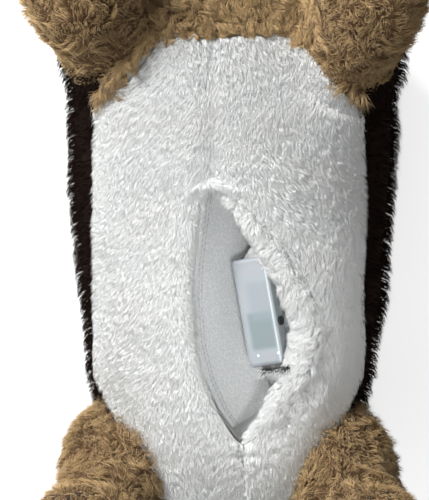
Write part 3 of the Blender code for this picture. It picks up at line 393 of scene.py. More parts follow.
def capped(rows: Array, first: Array, last: Array) -> Surface:
    """A closed surface through rings, ended by a point at each end.

    Args:
        rows: Rings x sides x 3 places.
        first: The point before the first ring.
        last: The point after the last.

    Returns:
        The closed surface.
    """
    surface = grid(rows, wrap=True)
    count, width = rows.shape[:2]
    base = len(surface.points)
    points = np.vstack([surface.points, first, last])
    faces = list(surface.faces)
    for j in range(width):
        k = (j + 1) % width
        faces.append((base, k, j))
        faces.append((base + 1, (count - 1) * width + j, (count - 1) * width + k))
    return Surface(points, faces)
def flipped(surface: Surface) -> Surface:
    """The surface with its faces turned over."""
    return Surface(surface.points, [tuple(reversed(f)) for f in surface.faces])


def faced_up(rows: Array) -> Surface:
    """A surface through rows of points, with its faces to the sky."""
    made = grid(rows)
    return made if made.normals()[0, 2] > 0 else flipped(made)


def joined(first: Surface, second: Surface) -> Surface:
    """Two surfaces as one.

    Args:
        first: One surface.
        second: The other.

    Returns:
        The surface with the faces of both.
    """
    base = len(first.points)
    faces = list(first.faces) + [tuple(base + i for i in f) for f in second.faces]
    return Surface(np.vstack([first.points, second.points]), faces)


def outward(surface: Surface) -> Surface:
    """A closed surface with its faces turned out.

    Args:
        surface: A closed surface.

    Returns:
        The same, or the same turned over.
    """
    corners = surface.points[surface.triangles()]
    middle = surface.points.mean(axis=0)
    parts = np.cross(corners[:, 1] - middle, corners[:, 2] - middle)
    volume = ((corners[:, 0] - middle) * parts).sum()
    return surface if volume > 0 else flipped(surface)


def turned_out(matrix: Matrix, local: Surface, waves: Waves, height: float) -> Surface:
    """A closed form taken through a matrix, turned out and swollen a little by noise."""
    return outward(Surface(moved(matrix, local.points), local.faces)).puffed(waves, height)


def rings(wide: Array, deep: Array, rise: Array, sides: int, shift: Array | float = 0.0) -> Array:
    """Rows of points in rings about +Z.

    Args:
        wide: Half the width along X of each ring.
        deep: Half its depth along Y.
        rise: Its height.
        sides: How many points a ring has.
        shift: Y of its middle.

    Returns:
        Rings x sides x 3 places.
    """
    angles = 2 * pi * np.arange(sides) / sides
    across = wide[:, None] * np.cos(angles)
    forward = np.reshape(shift, (-1, 1)) + deep[:, None] * np.sin(angles)
    return np.stack([across, forward, rise[:, None] + 0.0 * across], axis=-1)
def thickened(top: Array, thickness: float, normal_sign: float = -1.0) -> Surface:
    """A closed sheet whose upper side is a grid of points.

    Args:
        top: Rows x columns x 3 places.
        thickness: How thick the sheet is.
        normal_sign: -1 puts the other side against the grid's normals.

    Returns:
        The closed surface.
    """
    count, width = top.shape[:2]
    upper = grid(top)
    lower_points = upper.points + upper.normals() * thickness * normal_sign
    base = count * width
    faces = list(upper.faces) + [tuple(base + i for i in reversed(f)) for f in upper.faces]
    rim = [j for j in range(width)] + [i * width + width - 1 for i in range(1, count)]
    rim += [(count - 1) * width + j for j in range(width - 2, -1, -1)]
    rim += [i * width for i in range(count - 2, 0, -1)]
    for a, b in zip(rim, rim[1:] + rim[:1]):
        faces.append((b, a, base + a, base + b))
    return Surface(np.vstack([upper.points, lower_points]), faces)


def laid(rows: Array, thickness: float) -> Surface:
    """A closed sheet below a grid of points, whichever way the grid runs."""
    return thickened(rows, thickness, -1.0 if grid(rows).normals()[0, 2] > 0 else 1.0)


def tube(points: Array, radius: float, sides: int = 8) -> Surface:
    """A thread along a list of points.

    Args:
        points: The thread's middle line.
        radius: Its radius.
        sides: Points in a ring.

    Returns:
        The closed thread.
    """
    along = unit(np.gradient(points, axis=0))
    across = unit(np.cross(along, np.array([0.31, 0.42, 0.85])))
    other = np.cross(along, across)
    angles = 2 * pi * np.arange(sides) / sides
    rows = points[:, None] + radius * (
        across[:, None] * np.cos(angles)[None, :, None] + other[:, None] * np.sin(angles)[None, :, None]
    )
    return capped(rows, points[0] - along[0] * radius, points[-1] + along[-1] * radius)


def link(name: str, mesh: Mesh, material: Material) -> Object:
    """Puts a mesh in the scene under a name, with its material.

    Args:
        name: The object's name.
        mesh: Its mesh.
        material: Its material.

    Returns:
        The object.
    """
    mesh.materials.append(material)
    made = bpy.data.objects.new(name, mesh)
    bpy.context.scene.collection.objects.link(made)
    return made


def show(name: str, surface: Surface, material: Material) -> Object:
    """Makes a smooth object of a surface.

    Args:
        name: The piece's name.
        surface: Its points and faces.
        material: Its material.

    Returns:
        The object.
    """
    mesh = bpy.data.meshes.new(name)
    mesh.from_pydata(surface.points.tolist(), [], surface.faces)
    mesh.validate()
    mesh.shade_smooth()
    return link(name, mesh, material)


# Pile


@dataclass(frozen=True)
class Coat:
    """How a plush pile grows.

    Strands rise from the fabric, bend towards the combing direction and gather in tufts.
    """

    count: int
    length: float
    radius: float
    lean: float
    spread: float = 0.25
    tuft: float = 0.004
    gather: float = 0.35
    curl: float = 0.0
    bends: int = 1
    seed: int = 1
    tip_share: float = 0.25
    swirl_size: float = 0.03
    swirl: float = 0.3
    lock_turn: float = 0.35
    lock_length: float = 0.15


def scattered(surface: Surface, count: int, seed: int) -> tuple[Array, Array]:
    """Even random places on a surface.

    Args:
        surface: What they lie on.
        count: How many.
        seed: Of the random draw.

    Returns:
        Places and normals.
    """
    rng = np.random.default_rng(seed)
    tris = surface.triangles()
    corners = surface.points[tris]
    size = np.linalg.norm(np.cross(corners[:, 1] - corners[:, 0], corners[:, 2] - corners[:, 0]), axis=1)
    chosen = rng.choice(len(tris), count, p=size / size.sum())
    first, second = rng.random(count), rng.random(count)
    flip = first + second > 1.0
    first, second = np.where(flip, 1.0 - first, first), np.where(flip, 1.0 - second, second)
    weights = np.stack([1.0 - first - second, first, second], axis=1)[:, :, None]
    points = (corners[chosen] * weights).sum(axis=1)
    normals = unit((surface.normals()[tris][chosen] * weights).sum(axis=1))
    return points, normals


def locks_of(points: Array, size: float, seed: int) -> Array:
    """Sorts strands into small locks of about a size.

    Args:
        points: Where the strands are rooted.
        size: The locks' width in metres.
        seed: Of the noise that bends their borders.

    Returns:
        The number of the lock that each strand belongs to.
    """
    warp = Waves(size * 3.1, seed + 7).vector(points) * size * 0.6
    cells = np.floor((points + warp) / size).astype(np.int64) + LOCK_GRID // 2
    keys = (cells[:, 0] * LOCK_GRID + cells[:, 1]) * LOCK_GRID + cells[:, 2]
    return np.unique(keys, return_inverse=True)[1]


def grown(
    name: str,
    surface: Surface,
    coat: Coat,
    material: Material,
    combing: Field,
    scale: Field | None = None,
    keep: Field | None = None,
) -> Object:
    """Grows a pile on a surface as one mesh of thin tapering strands.

    Args:
        name: The piece's name.
        surface: The fabric it grows on.
        coat: Its length, lean and tufting.
        material: The pile's material.
        combing: Gives the direction that the pile lies in at each place.
        scale: Gives a share of the full length at each place.
        keep: Says at which places the pile grows.

    Returns:
        The object, with the point attributes "along" and "shade".
    """
    rng = np.random.default_rng(coat.seed)
    roots, normals = scattered(surface, coat.count, coat.seed)
    if keep is not None:
        kept = keep(roots)
        roots, normals = roots[kept], normals[kept]
    count = len(roots)
    locks = locks_of(roots, coat.tuft, coat.seed)
    lock_count = int(locks.max()) + 1
    swirl = Waves(coat.swirl_size, coat.seed + 3).vector(roots) * coat.swirl
    swirl = swirl + (rng.normal(size=(lock_count, 3)) * coat.lock_turn)[locks]
    comb = unit(combing(roots)) + swirl + rng.normal(size=(count, 3)) * coat.spread
    comb = unit(comb - normals * (comb * normals).sum(axis=1, keepdims=True))
    length = coat.length * rng.uniform(0.78, 1.08, count)
    length *= rng.uniform(1.0 - coat.lock_length, 1.0 + coat.lock_length, lock_count)[locks]
    if scale is not None:
        length *= scale(roots)
    steps = coat.bends + 1
    curl = Waves(coat.tuft * 2.2, coat.seed + 5).vector(roots) * coat.curl
    lines = [roots - normals * coat.radius]
    for i in range(steps):
        lean = coat.lean * (0.55 + 0.75 * i / max(steps - 1, 1)) if coat.bends else coat.lean
        way = unit(normals * cos(lean) + comb * sin(lean) + curl * (i + 0.5))
        lines.append(lines[-1] + way * (length / steps)[:, None])
    middles = np.zeros((lock_count, 3))
    np.add.at(middles, locks, lines[-1])
    middles /= np.bincount(locks)[:, None]
    drawn = (middles[locks] - lines[-1]) * coat.gather
    for i in range(1, steps + 1):
        lines[i] = lines[i] + drawn * (i / steps) ** 2
    way = unit(lines[-1] - lines[0])
    side = unit(np.cross(way, rng.normal(size=(count, 3))))
    other = np.cross(way, side)
    rings, along = [], []
    for i in range(steps):
        radius = coat.radius * (1.0 - (1.0 - coat.tip_share) * i / steps)
        for k in range(3):
            angle = 2 * pi * k / 3
            rings.append(lines[i] + radius * (side * cos(angle) + other * sin(angle)))
            along.append(np.full(count, i / steps))
    rings.append(lines[-1])
    along.append(np.ones(count))
    points = np.stack(rings, axis=1).reshape(-1, 3)
    points[:, 2] = np.maximum(points[:, 2], FLOOR_CLEARANCE)
    width = 3 * steps + 1
    base = np.arange(count)[:, None] * width
    corners, sizes = [], []
    for i in range(steps):
        for k in range(3):
            a, b = 3 * i + k, 3 * i + (k + 1) % 3
            face = [a, b, b + 3, a + 3] if i < steps - 1 else [a, b, width - 1]
            corners.append(base + np.array(face))
            sizes.append(len(face))
    loops = np.concatenate(corners, axis=1).reshape(-1)
    totals = np.tile(np.array(sizes), count)
    mesh = bpy.data.meshes.new(name)
    mesh.vertices.add(len(points))
    mesh.vertices.foreach_set("co", points.astype(np.float32).ravel())
    mesh.loops.add(len(loops))
    mesh.loops.foreach_set("vertex_index", loops.astype(np.int32))
    mesh.polygons.add(len(totals))
    starts = np.concatenate([[0], np.cumsum(totals)[:-1]])
    mesh.polygons.foreach_set("loop_start", starts.astype(np.int32))
    mesh.update(calc_edges=True)
    mesh.shade_smooth()
    values = {
        "along": np.stack(along, axis=1).ravel(),
        "shade": np.repeat((rng.random(count) + rng.random(lock_count)[locks]) / 2, width),
    }
    for label, data in values.items():
        attribute = mesh.attributes.new(label, "FLOAT", "POINT")
        attribute.data.foreach_set("value", data.astype(np.float32))
    return link(name, mesh, material)


# Finishes


def new_group(name: str, inputs: dict[str, object], outputs: dict[str, str]) -> tuple[NodeTree, Node, Node]:
    """Makes an empty shader node group.

    Args:
        name: The group's name.
        inputs: Default values by input name: a number, a place or a colour.
        outputs: Kinds of socket by output name.

    Returns:
        The tree with its input and output nodes.
    """
    tree = bpy.data.node_groups.new(name, "ShaderNodeTree")
    for label, value in inputs.items():
        kind = "Float" if isinstance(value, float) else "Color" if len(value) == 4 else "Vector"
        made = tree.interface.new_socket(name=label, in_out="INPUT", socket_type=f"NodeSocket{kind}")
        made.default_value = value
    for label, kind in outputs.items():
        tree.interface.new_socket(name=label, in_out="OUTPUT", socket_type=f"NodeSocket{kind}")
    return tree, tree.nodes.new("NodeGroupInput"), tree.nodes.new("NodeGroupOutput")


def set_values(node: Node, values: dict[str, object]) -> None:
    """Sets a node's inputs to plain values, by their names."""
    for name, value in values.items():
        node.inputs[name].default_value = value


def mixed(tree: NodeTree, factor: object, first: object, second: object) -> NodeSocket:
    """A colour Mix node.

    Args:
        tree: The tree that it stands in.
        factor: Socket or number that says how much of the second colour shows.
        first: Socket or colour at 0.
        second: Socket or colour at 1.

    Returns:
        The node's output.
    """
    node = tree.nodes.new("ShaderNodeMix")
    node.data_type = "RGBA"
    for name, value in (("Factor", factor), ("A", first), ("B", second)):
        kind = "VALUE" if name == "Factor" else "RGBA"
        entry = next(s for s in node.inputs if s.name == name and s.type == kind)
        if isinstance(value, NodeSocket):
            tree.links.new(value, entry)
        else:
            entry.default_value = value
    return next(s for s in node.outputs if s.type == "RGBA")


class NodeGroups:
    """Shader node groups that several materials share, each built once."""

    def __init__(self) -> None:
        """Builds every group."""
        self.pile = self._pile()
        self.weave = self._weave()
        self.grain = self._grain()
        self.painted_glints = self._painted_glints()
        self.window = self._window()

    @staticmethod
    def _math(tree: NodeTree, kind: str, first: object, second: object) -> NodeSocket:
        """A Math node fed by sockets or numbers, as its output.

        Args:
            tree: The tree.
            kind: The operation.
            first: Socket or number.
            second: Socket or number.

        Returns:
            The node's output.
        """
        node = tree.nodes.new("ShaderNodeMath")
        node.operation = kind
        for i, value in enumerate((first, second)):
            if isinstance(value, NodeSocket):
                tree.links.new(value, node.inputs[i])
            else:
                node.inputs[i].default_value = value
        return node.outputs[0]

    @staticmethod
    def _noise(tree: NodeTree, scale: object, detail: float) -> NodeSocket:
        """Noise over the object's own coordinates.

        Args:
            tree: The tree.
            scale: Socket or number.
            detail: How many finer layers.

        Returns:
            The node's output.
        """
        place = tree.nodes.new("ShaderNodeTexCoord")
        node = tree.nodes.new("ShaderNodeTexNoise")
        tree.links.new(place.outputs["Object"], node.inputs["Vector"])
        node.inputs["Detail"].default_value = detail
        if isinstance(scale, NodeSocket):
            tree.links.new(scale, node.inputs["Scale"])
        else:
            node.inputs["Scale"].default_value = scale
        return node.outputs["Fac"]

    def _pile(self) -> NodeTree:
        """Colour of a strand: root to tip, strand to strand and patch to patch.

        Returns:
            The group's tree.
        """
        inputs = {
            "Root": (0.3, 0.2, 0.1, 1.0), "Tip": (0.6, 0.4, 0.2, 1.0), "Patch": (0.4, 0.3, 0.2, 1.0),
            "Patch Share": 0.3, "Patch Scale": 60.0, "Variation": 0.25,
        }
        tree, source, result = new_group("pile_colour", inputs, {"Color": "Color"})
        along = tree.nodes.new("ShaderNodeAttribute")
        along.attribute_name = "along"
        shade = tree.nodes.new("ShaderNodeAttribute")
        shade.attribute_name = "shade"
        # Strands go from the root colour to the tip colour; the darker roots stand partly for painted shade
        # deep in the pile.
        strand = mixed(tree, along.outputs["Fac"], source.outputs["Root"], source.outputs["Tip"])
        noise = self._noise(tree, source.outputs["Patch Scale"], 3.0)
        steep = self._math(tree, "SUBTRACT", self._math(tree, "MULTIPLY", noise, 3.0), 1.0)
        clear = tree.nodes.new("ShaderNodeClamp")
        tree.links.new(steep, clear.inputs["Value"])
        share = self._math(tree, "MULTIPLY", clear.outputs[0], source.outputs["Patch Share"])
        patched = mixed(tree, share, strand, source.outputs["Patch"])
        centred = self._math(tree, "SUBTRACT", shade.outputs["Fac"], 0.5)
        swing = self._math(tree, "MULTIPLY", centred, source.outputs["Variation"])
        gain = self._math(tree, "ADD", swing, 1.0)
        scaled = tree.nodes.new("ShaderNodeVectorMath")
        scaled.operation = "SCALE"
        tree.links.new(patched, scaled.inputs[0])
        tree.links.new(gain, scaled.inputs["Scale"])
        tree.links.new(scaled.outputs[0], result.inputs["Color"])
        return tree

    def _weave(self) -> NodeTree:
        """Height and tone of a fine woven or knitted ground.

        Returns:
            The group's tree.
        """
        outputs = {"Height": "Float", "Tone": "Float"}
        tree, source, result = new_group("weave", {"Threads": 1800.0}, outputs)
        place = tree.nodes.new("ShaderNodeTexCoord")
        apart = tree.nodes.new("ShaderNodeSeparateXYZ")
        tree.links.new(place.outputs["Object"], apart.inputs[0])
        waves = []
        for axis in ("Y", "X"):
            turn = self._math(tree, "MULTIPLY", apart.outputs[axis], source.outputs[0])
            waves.append(self._math(tree, "SINE", turn, 0.0))
        height = self._math(tree, "MULTIPLY", *waves)
        noise = self._noise(tree, 900.0, 2.0)
        tree.links.new(self._math(tree, "ADD", height, noise), result.inputs["Height"])
        tone = self._math(tree, "ADD", self._math(tree, "MULTIPLY", height, 0.06), noise)
        tree.links.new(tone, result.inputs["Tone"])
        return tree

    def _grain(self) -> NodeTree:
        """Fine grain and soft smudges of moulded plastic or metal.

        Returns:
            The group's tree.
        """
        outputs = {"Roughness": "Float", "Height": "Float"}
        tree, source, result = new_group("grain", {"Roughness": 0.4, "Range": 0.15}, outputs)
        fine = self._noise(tree, 2600.0, 2.0)
        smudge = self._noise(tree, 120.0, 4.0)
        swing = self._math(tree, "SUBTRACT", smudge, 0.5)
        swing = self._math(tree, "MULTIPLY", swing, source.outputs["Range"])
        rough = self._math(tree, "ADD", swing, source.outputs["Roughness"])
        tree.links.new(rough, result.inputs["Roughness"])
        tree.links.new(fine, result.inputs["Height"])
        return tree

    def _window(self) -> NodeTree:
        """Mask of a soft-edged rectangle round a middle, in the axes of the place given.

        Returns:
            The group's tree.
        """
        sizes = dict.fromkeys(("Middle X", "Middle Y", "Half X", "Half Y", "Soft"), 0.001)
        inputs = {"Place": (0.0, 0.0, 0.0), **sizes, "Share": 1.0}
        tree, source, result = new_group("soft_window", inputs, {"Mask": "Float"})
        split = tree.nodes.new("ShaderNodeSeparateXYZ")
        tree.links.new(source.outputs["Place"], split.inputs[0])
        total = source.outputs["Share"]
        for axis in ("X", "Y"):
            away = self._math(tree, "SUBTRACT", split.outputs[axis], source.outputs[f"Middle {axis}"])
            reach = self._math(tree, "ABSOLUTE", away, 0.0)
            half = source.outputs[f"Half {axis}"]
            fade = tree.nodes.new("ShaderNodeMapRange")
            fade.interpolation_type = "SMOOTHSTEP"
            tree.links.new(reach, fade.inputs["Value"])
            tree.links.new(half, fade.inputs["From Min"])
            tree.links.new(self._math(tree, "ADD", half, source.outputs["Soft"]), fade.inputs["From Max"])
            fade.inputs["To Min"].default_value = 1.0
            fade.inputs["To Max"].default_value = 0.0
            total = self._math(tree, "MULTIPLY", total, fade.outputs[0])
        tree.links.new(total, result.inputs["Mask"])
        return tree

    def _painted_glints(self) -> NodeTree:
        """Mask of tiny loops scattered over a tape, which get painted glints.

        Returns:
            The group's tree.
        """
        outputs = {"Mask": "Float", "Height": "Float"}
        tree, source, result = new_group("painted_loop_glints", {"Scale": 1400.0, "Share": 0.35}, outputs)
        place = tree.nodes.new("ShaderNodeTexCoord")
        cells = tree.nodes.new("ShaderNodeTexVoronoi")
        tree.links.new(place.outputs["Object"], cells.inputs["Vector"])
        tree.links.new(source.outputs["Scale"], cells.inputs["Scale"])
        level = tree.nodes.new("ShaderNodeSeparateColor")
        tree.links.new(cells.outputs["Color"], level.inputs[0])
        mask = self._math(tree, "LESS_THAN", level.outputs[0], source.outputs["Share"])
        tree.links.new(mask, result.inputs["Mask"])
        tree.links.new(cells.outputs["Distance"], result.inputs["Height"])
        return tree


Colour = tuple[float, float, float]
Place = tuple[float, float, float]
GRAIN_HEIGHT = 0.0002
GLOW_DEPTH = 0.002


def shader_of(material: Material) -> Node:
    """A material's Principled node."""
    return material.node_tree.nodes["Principled BSDF"]


def fresh(name: str) -> Material:
    """A new node material.

    Args:
        name: The material's name.

    Returns:
        The material.
    """
    material = bpy.data.materials.new(name)
    material.use_nodes = True
    return material


def add_group(material: Material, tree: NodeTree, **values: object) -> Node:
    """Places a node group in a material with its own values.

    Args:
        material: The material.
        tree: The group.
        values: Values by input name, with _ for a space.

    Returns:
        The group's node.
    """
    node = material.node_tree.nodes.new("ShaderNodeGroup")
    node.node_tree = tree
    set_values(node, {name.replace("_", " "): value for name, value in values.items()})
    return node


def add_bump(
    material: Material, height: NodeSocket, strength: float, distance: float
) -> None:
    """Feeds a height through a Bump node into the shader's normal.

    Args:
        material: The material.
        height: The height's socket.
        strength: The bump's strength.
        distance: Its depth in metres.
    """
    bump = material.node_tree.nodes.new("ShaderNodeBump")
    set_values(bump, {"Strength": strength, "Distance": distance})
    material.node_tree.links.new(height, bump.inputs["Height"])
    material.node_tree.links.new(bump.outputs[0], shader_of(material).inputs["Normal"])


@dataclass(frozen=True)
class PileFinish:
    """Colours of a plush pile from root to tip."""

    name: str
    root: Colour
    tip: Colour
    patch: Colour
    patch_share: float = 0.3
    patch_scale: float = 45.0
    variation: float = 0.35
    roughness: float = 0.75
    sheen: float = 0.25
    specular: float = 0.35

    def material(self, groups: NodeGroups) -> Material:
        """The pile's material.

        Args:
            groups: The shader node groups that it may use.

        Returns:
            The material.
        """
        made = fresh(self.name)
        tone = add_group(
            made, groups.pile, Root=(*self.root, 1.0), Tip=(*self.tip, 1.0), Patch=(*self.patch, 1.0),
            Patch_Share=self.patch_share, Patch_Scale=self.patch_scale, Variation=self.variation,
        )
        shader = shader_of(made)
        made.node_tree.links.new(tone.outputs["Color"], shader.inputs["Base Color"])
        set_values(shader, {
            "Roughness": self.roughness, "Sheen Weight": self.sheen, "Specular IOR Level": self.specular,
        })
        return made


@dataclass(frozen=True)
class ClothFinish:
    """Knitted backing, lining or thread."""

    name: str
    colour: Colour
    shadow: Colour
    threads: float = 5200.0
    bump: float = 0.5
    roughness: float = 0.9
    sheen: float = 0.15
    specular: float = 0.3
    bump_height: float = 0.0003

    def material(self, groups: NodeGroups) -> Material:
        """The cloth's material.

        Args:
            groups: The shader node groups that it may use.

        Returns:
            The material.
        """
        made = fresh(self.name)
        weave = add_group(made, groups.weave, Threads=self.threads)
        tree, shader = made.node_tree, shader_of(made)
        tone = mixed(tree, weave.outputs["Tone"], (*self.shadow, 1.0), (*self.colour, 1.0))
        tree.links.new(tone, shader.inputs["Base Color"])
        add_bump(made, weave.outputs["Height"], self.bump, self.bump_height)
        set_values(shader, {
            "Roughness": self.roughness, "Sheen Weight": self.sheen, "Specular IOR Level": self.specular,
        })
        return made


@dataclass(frozen=True)
class TapeFinish:
    """Loop tape, with the glints of its nylon loops painted as brighter spots."""

    name: str
    colour: Colour
    painted_glint: Colour
    share: float = 0.34
    scale: float = 1150.0
    roughness: float = 0.50
    sheen: float = 0.3
    bump: float = 0.6
    bump_height: float = 0.0006

    def material(self, groups: NodeGroups) -> Material:
        """The tape's material.

        Args:
            groups: The shader node groups that it may use.

        Returns:
            The material.
        """
        made = fresh(self.name)
        loops = add_group(made, groups.painted_glints, Scale=self.scale, Share=self.share)
        tree, shader = made.node_tree, shader_of(made)
        # Painted glints: the scattered loops get a brighter colour than the tape.
        tone = mixed(tree, loops.outputs["Mask"], (*self.colour, 1.0), (*self.painted_glint, 1.0))
        tree.links.new(tone, shader.inputs["Base Color"])
        add_bump(made, loops.outputs["Height"], self.bump, self.bump_height)
        set_values(shader, {"Roughness": self.roughness, "Sheen Weight": self.sheen})
        return made


@dataclass(frozen=True)
class Patch:
    """A soft-edged rectangle on the box's front, in the box's own axes, with its colour."""

    middle: tuple[float, float]
    half: tuple[float, float]
    soft: float
    colour: Colour
    share: float = 1.0


@dataclass(frozen=True)
class FrostedFinish:
    """Translucent case whose dark contents show through as soft patches; a thin patch along one edge is a
    painted highlight, and the patch on its side adds painted light.
    """

    name: str
    base: Colour
    patches: tuple[Patch, ...]
    place: Place = (0.0155, -0.0353, 0.116)
    turn: tuple[float, float, float] = (0.0, radians(-30), radians(10))
    roughness: float = 0.38
    swing: float = 0.1
    alpha: float = 0.92
    bump: float = 0.1
    subsurface: float = 0.25

    def material(self, groups: NodeGroups) -> Material:
        """The case's material.

        Args:
            groups: The shader node groups that it may use.

        Returns:
            The material.
        """
        made = fresh(self.name)
        tree, shader = made.node_tree, shader_of(made)
        where = tree.nodes.new("ShaderNodeTexCoord")
        turned = tree.nodes.new("ShaderNodeMapping")
        turned.vector_type = "TEXTURE"
        set_values(turned, {"Location": self.place, "Rotation": self.turn})
        tree.links.new(where.outputs["Object"], turned.inputs["Vector"])
        colour = (*self.base, 1.0)
        for patch in self.patches:
            mask = add_group(
                made, groups.window, Middle_X=patch.middle[0], Middle_Y=patch.middle[1], Half_X=patch.half[0],
                Half_Y=patch.half[1], Soft=patch.soft, Share=patch.share,
            )
            tree.links.new(turned.outputs[0], mask.inputs["Place"])
            colour = mixed(tree, mask.outputs["Mask"], colour, (*patch.colour, 1.0))
        tree.links.new(colour, shader.inputs["Base Color"])
        grain = add_group(made, groups.grain, Roughness=self.roughness, Range=self.swing)
        tree.links.new(grain.outputs["Roughness"], shader.inputs["Roughness"])
        add_bump(made, grain.outputs["Height"], self.bump, GRAIN_HEIGHT)
        set_values(shader, {
            "Alpha": self.alpha, "Subsurface Weight": self.subsurface, "Subsurface Scale": GLOW_DEPTH,
        })
        return made


@dataclass(frozen=True)
class HardFinish:
    """Moulded plastic or plated metal."""

    name: str
    colour: Colour
    roughness: float
    swing: float = 0.12
    metallic: float = 0.0
    alpha: float = 1.0
    coat: float = 0.0
    subsurface: float = 0.0
    bump: float = 0.12

    def material(self, groups: NodeGroups) -> Material:
        """The plastic's or metal's material.

        Args:
            groups: The shader node groups that it may use.

        Returns:
            The material.
        """
        made = fresh(self.name)
        grain = add_group(made, groups.grain, Roughness=self.roughness, Range=self.swing)
        shader = shader_of(made)
        made.node_tree.links.new(grain.outputs["Roughness"], shader.inputs["Roughness"])
        add_bump(made, grain.outputs["Height"], self.bump, GRAIN_HEIGHT)
        set_values(shader, {
            "Base Color": (*self.colour, 1.0), "Metallic": self.metallic, "Alpha": self.alpha,
            "Coat Weight": self.coat, "Subsurface Weight": self.subsurface, "Subsurface Scale": GLOW_DEPTH,
        })
        return made


FINISHES = (
    # White pile: its grey root colour is painted shade among the strands.
    PileFinish(
        "white_pile", (0.84, 0.85, 0.84), (0.93, 0.935, 0.92), (0.86, 0.88, 0.88),
        patch_share=0.5, patch_scale=38.0, variation=0.10, sheen=0.1,
    ),
    PileFinish(
        "brown_pile", (0.004, 0.0022, 0.0016), (0.019, 0.0105, 0.0075), (0.008, 0.0045, 0.0035),
        variation=0.6, roughness=0.9, sheen=0.0, specular=0.02,
    ),
    # Tan pile: its darker root colour is partly painted shade among the strands.
    PileFinish(
        "tan_pile", (0.285, 0.180, 0.078), (0.50, 0.350, 0.178), (0.40, 0.270, 0.122),
        patch_share=0.5, variation=0.22, sheen=0.15, specular=0.2,
    ),
    PileFinish("ear_pile", (0.42, 0.22, 0.17), (0.62, 0.40, 0.34), (0.50, 0.30, 0.24), variation=0.3),
    PileFinish("frayed_fibre", (0.75, 0.76, 0.77), (0.86, 0.87, 0.88), (0.70, 0.71, 0.72), variation=0.2),
    ClothFinish("white_backing", (0.84, 0.84, 0.83), (0.66, 0.66, 0.65)),
    ClothFinish(
        "brown_backing", (0.014, 0.009, 0.007), (0.008, 0.005, 0.004),
        roughness=1.0, sheen=0.0, specular=0.05,
    ),
    ClothFinish("tan_backing", (0.26, 0.16, 0.08), (0.18, 0.105, 0.05)),
    ClothFinish("ear_backing", (0.46, 0.26, 0.20), (0.36, 0.19, 0.15)),
    ClothFinish("lining_cloth", (0.78, 0.78, 0.77), (0.62, 0.62, 0.61), threads=6800.0),
    # The wadding is white; its grey colour here is painted shade.
    ClothFinish("filling", (0.56, 0.56, 0.55), (0.44, 0.44, 0.44), threads=1500.0, bump=0.9),
    ClothFinish("white_thread", (0.80, 0.81, 0.82), (0.62, 0.62, 0.64), threads=9000.0),
    ClothFinish("brown_thread", (0.035, 0.022, 0.015), (0.02, 0.012, 0.01), threads=9000.0),
    # Loop tape: its pale colour is partly painted light, lighter than the tape's own grey where its tilted
    # face gets little lamp light; the white spots are painted glints.
    TapeFinish("loop_tape", (0.88, 0.90, 0.91), (1.0, 1.0, 1.0)),
    FrostedFinish(
        "frosted_plastic", (0.30, 0.325, 0.350),
        (
            Patch((0.0005, -0.0015), (0.0080, 0.0275), 0.0014, (0.315, 0.340, 0.362)),
            # Side of the case: a teal tone, made brighter as painted light where the lamps leave the side
            # dim.
            Patch((0.0135, -0.0020), (0.0022, 0.0400), 0.0006, (0.70, 0.83, 0.84)),
            Patch((0.0018, -0.0108), (0.0062, 0.0088), 0.0034, (0.185, 0.230, 0.238), 0.9),
            Patch((0.0040, 0.0060), (0.0050, 0.0085), 0.0050, (0.245, 0.280, 0.305), 0.6),
            # Painted highlight: a thin bright line along the box's edge.
            Patch((0.0104, 0.0), (0.0005, 0.0310), 0.0005, (0.56, 0.62, 0.65), 0.9),
            Patch((-0.0035, -0.0245), (0.0004, 0.0004), 0.0004, (1.0, 1.0, 1.0)),
            Patch((0.0095, -0.0245), (0.0004, 0.0004), 0.0004, (1.0, 1.0, 1.0)),
        ),
    ),
    HardFinish("milky_plastic", (0.72, 0.76, 0.78), 0.45, subsurface=0.2),
    HardFinish("black_plastic", (0.012, 0.012, 0.013), 0.16, swing=0.08, coat=0.6),
    HardFinish("lamp_plastic", (0.88, 0.92, 0.95), 0.1, alpha=0.85, coat=0.5),
    HardFinish("board_mask", (0.10, 0.20, 0.20), 0.45),
    HardFinish("steel", (0.58, 0.58, 0.57), 0.28, metallic=1.0),
)


Wardrobe = dict[str, Material]


def new_wardrobe() -> Wardrobe:
    """Every material by its finish's name, each built once."""
    groups = NodeGroups()
    return {finish.name: finish.material(groups) for finish in FINISHES}


def settle(made: Object, body: str, slot: Slot, *nodes: str) -> Object:
    """Makes a piece ride on a body and hides the CAD nodes that it stands for.

    Args:
        made: The piece.
        body: The CAD body.
        slot: Not used.
        nodes: CAD nodes that it replaces.

    Returns:
        The piece.
    """
    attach(made, body)
    if nodes:
        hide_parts(*nodes)
    LOG.info("%s rides on %s with %d faces", made.name, body, len(made.data.polygons))
    return made


def fixed_way(direction: tuple[float, float, float]) -> Field:
    """Combing in one direction everywhere."""
    return lambda points: np.broadcast_to(np.array(direction, float), points.shape)


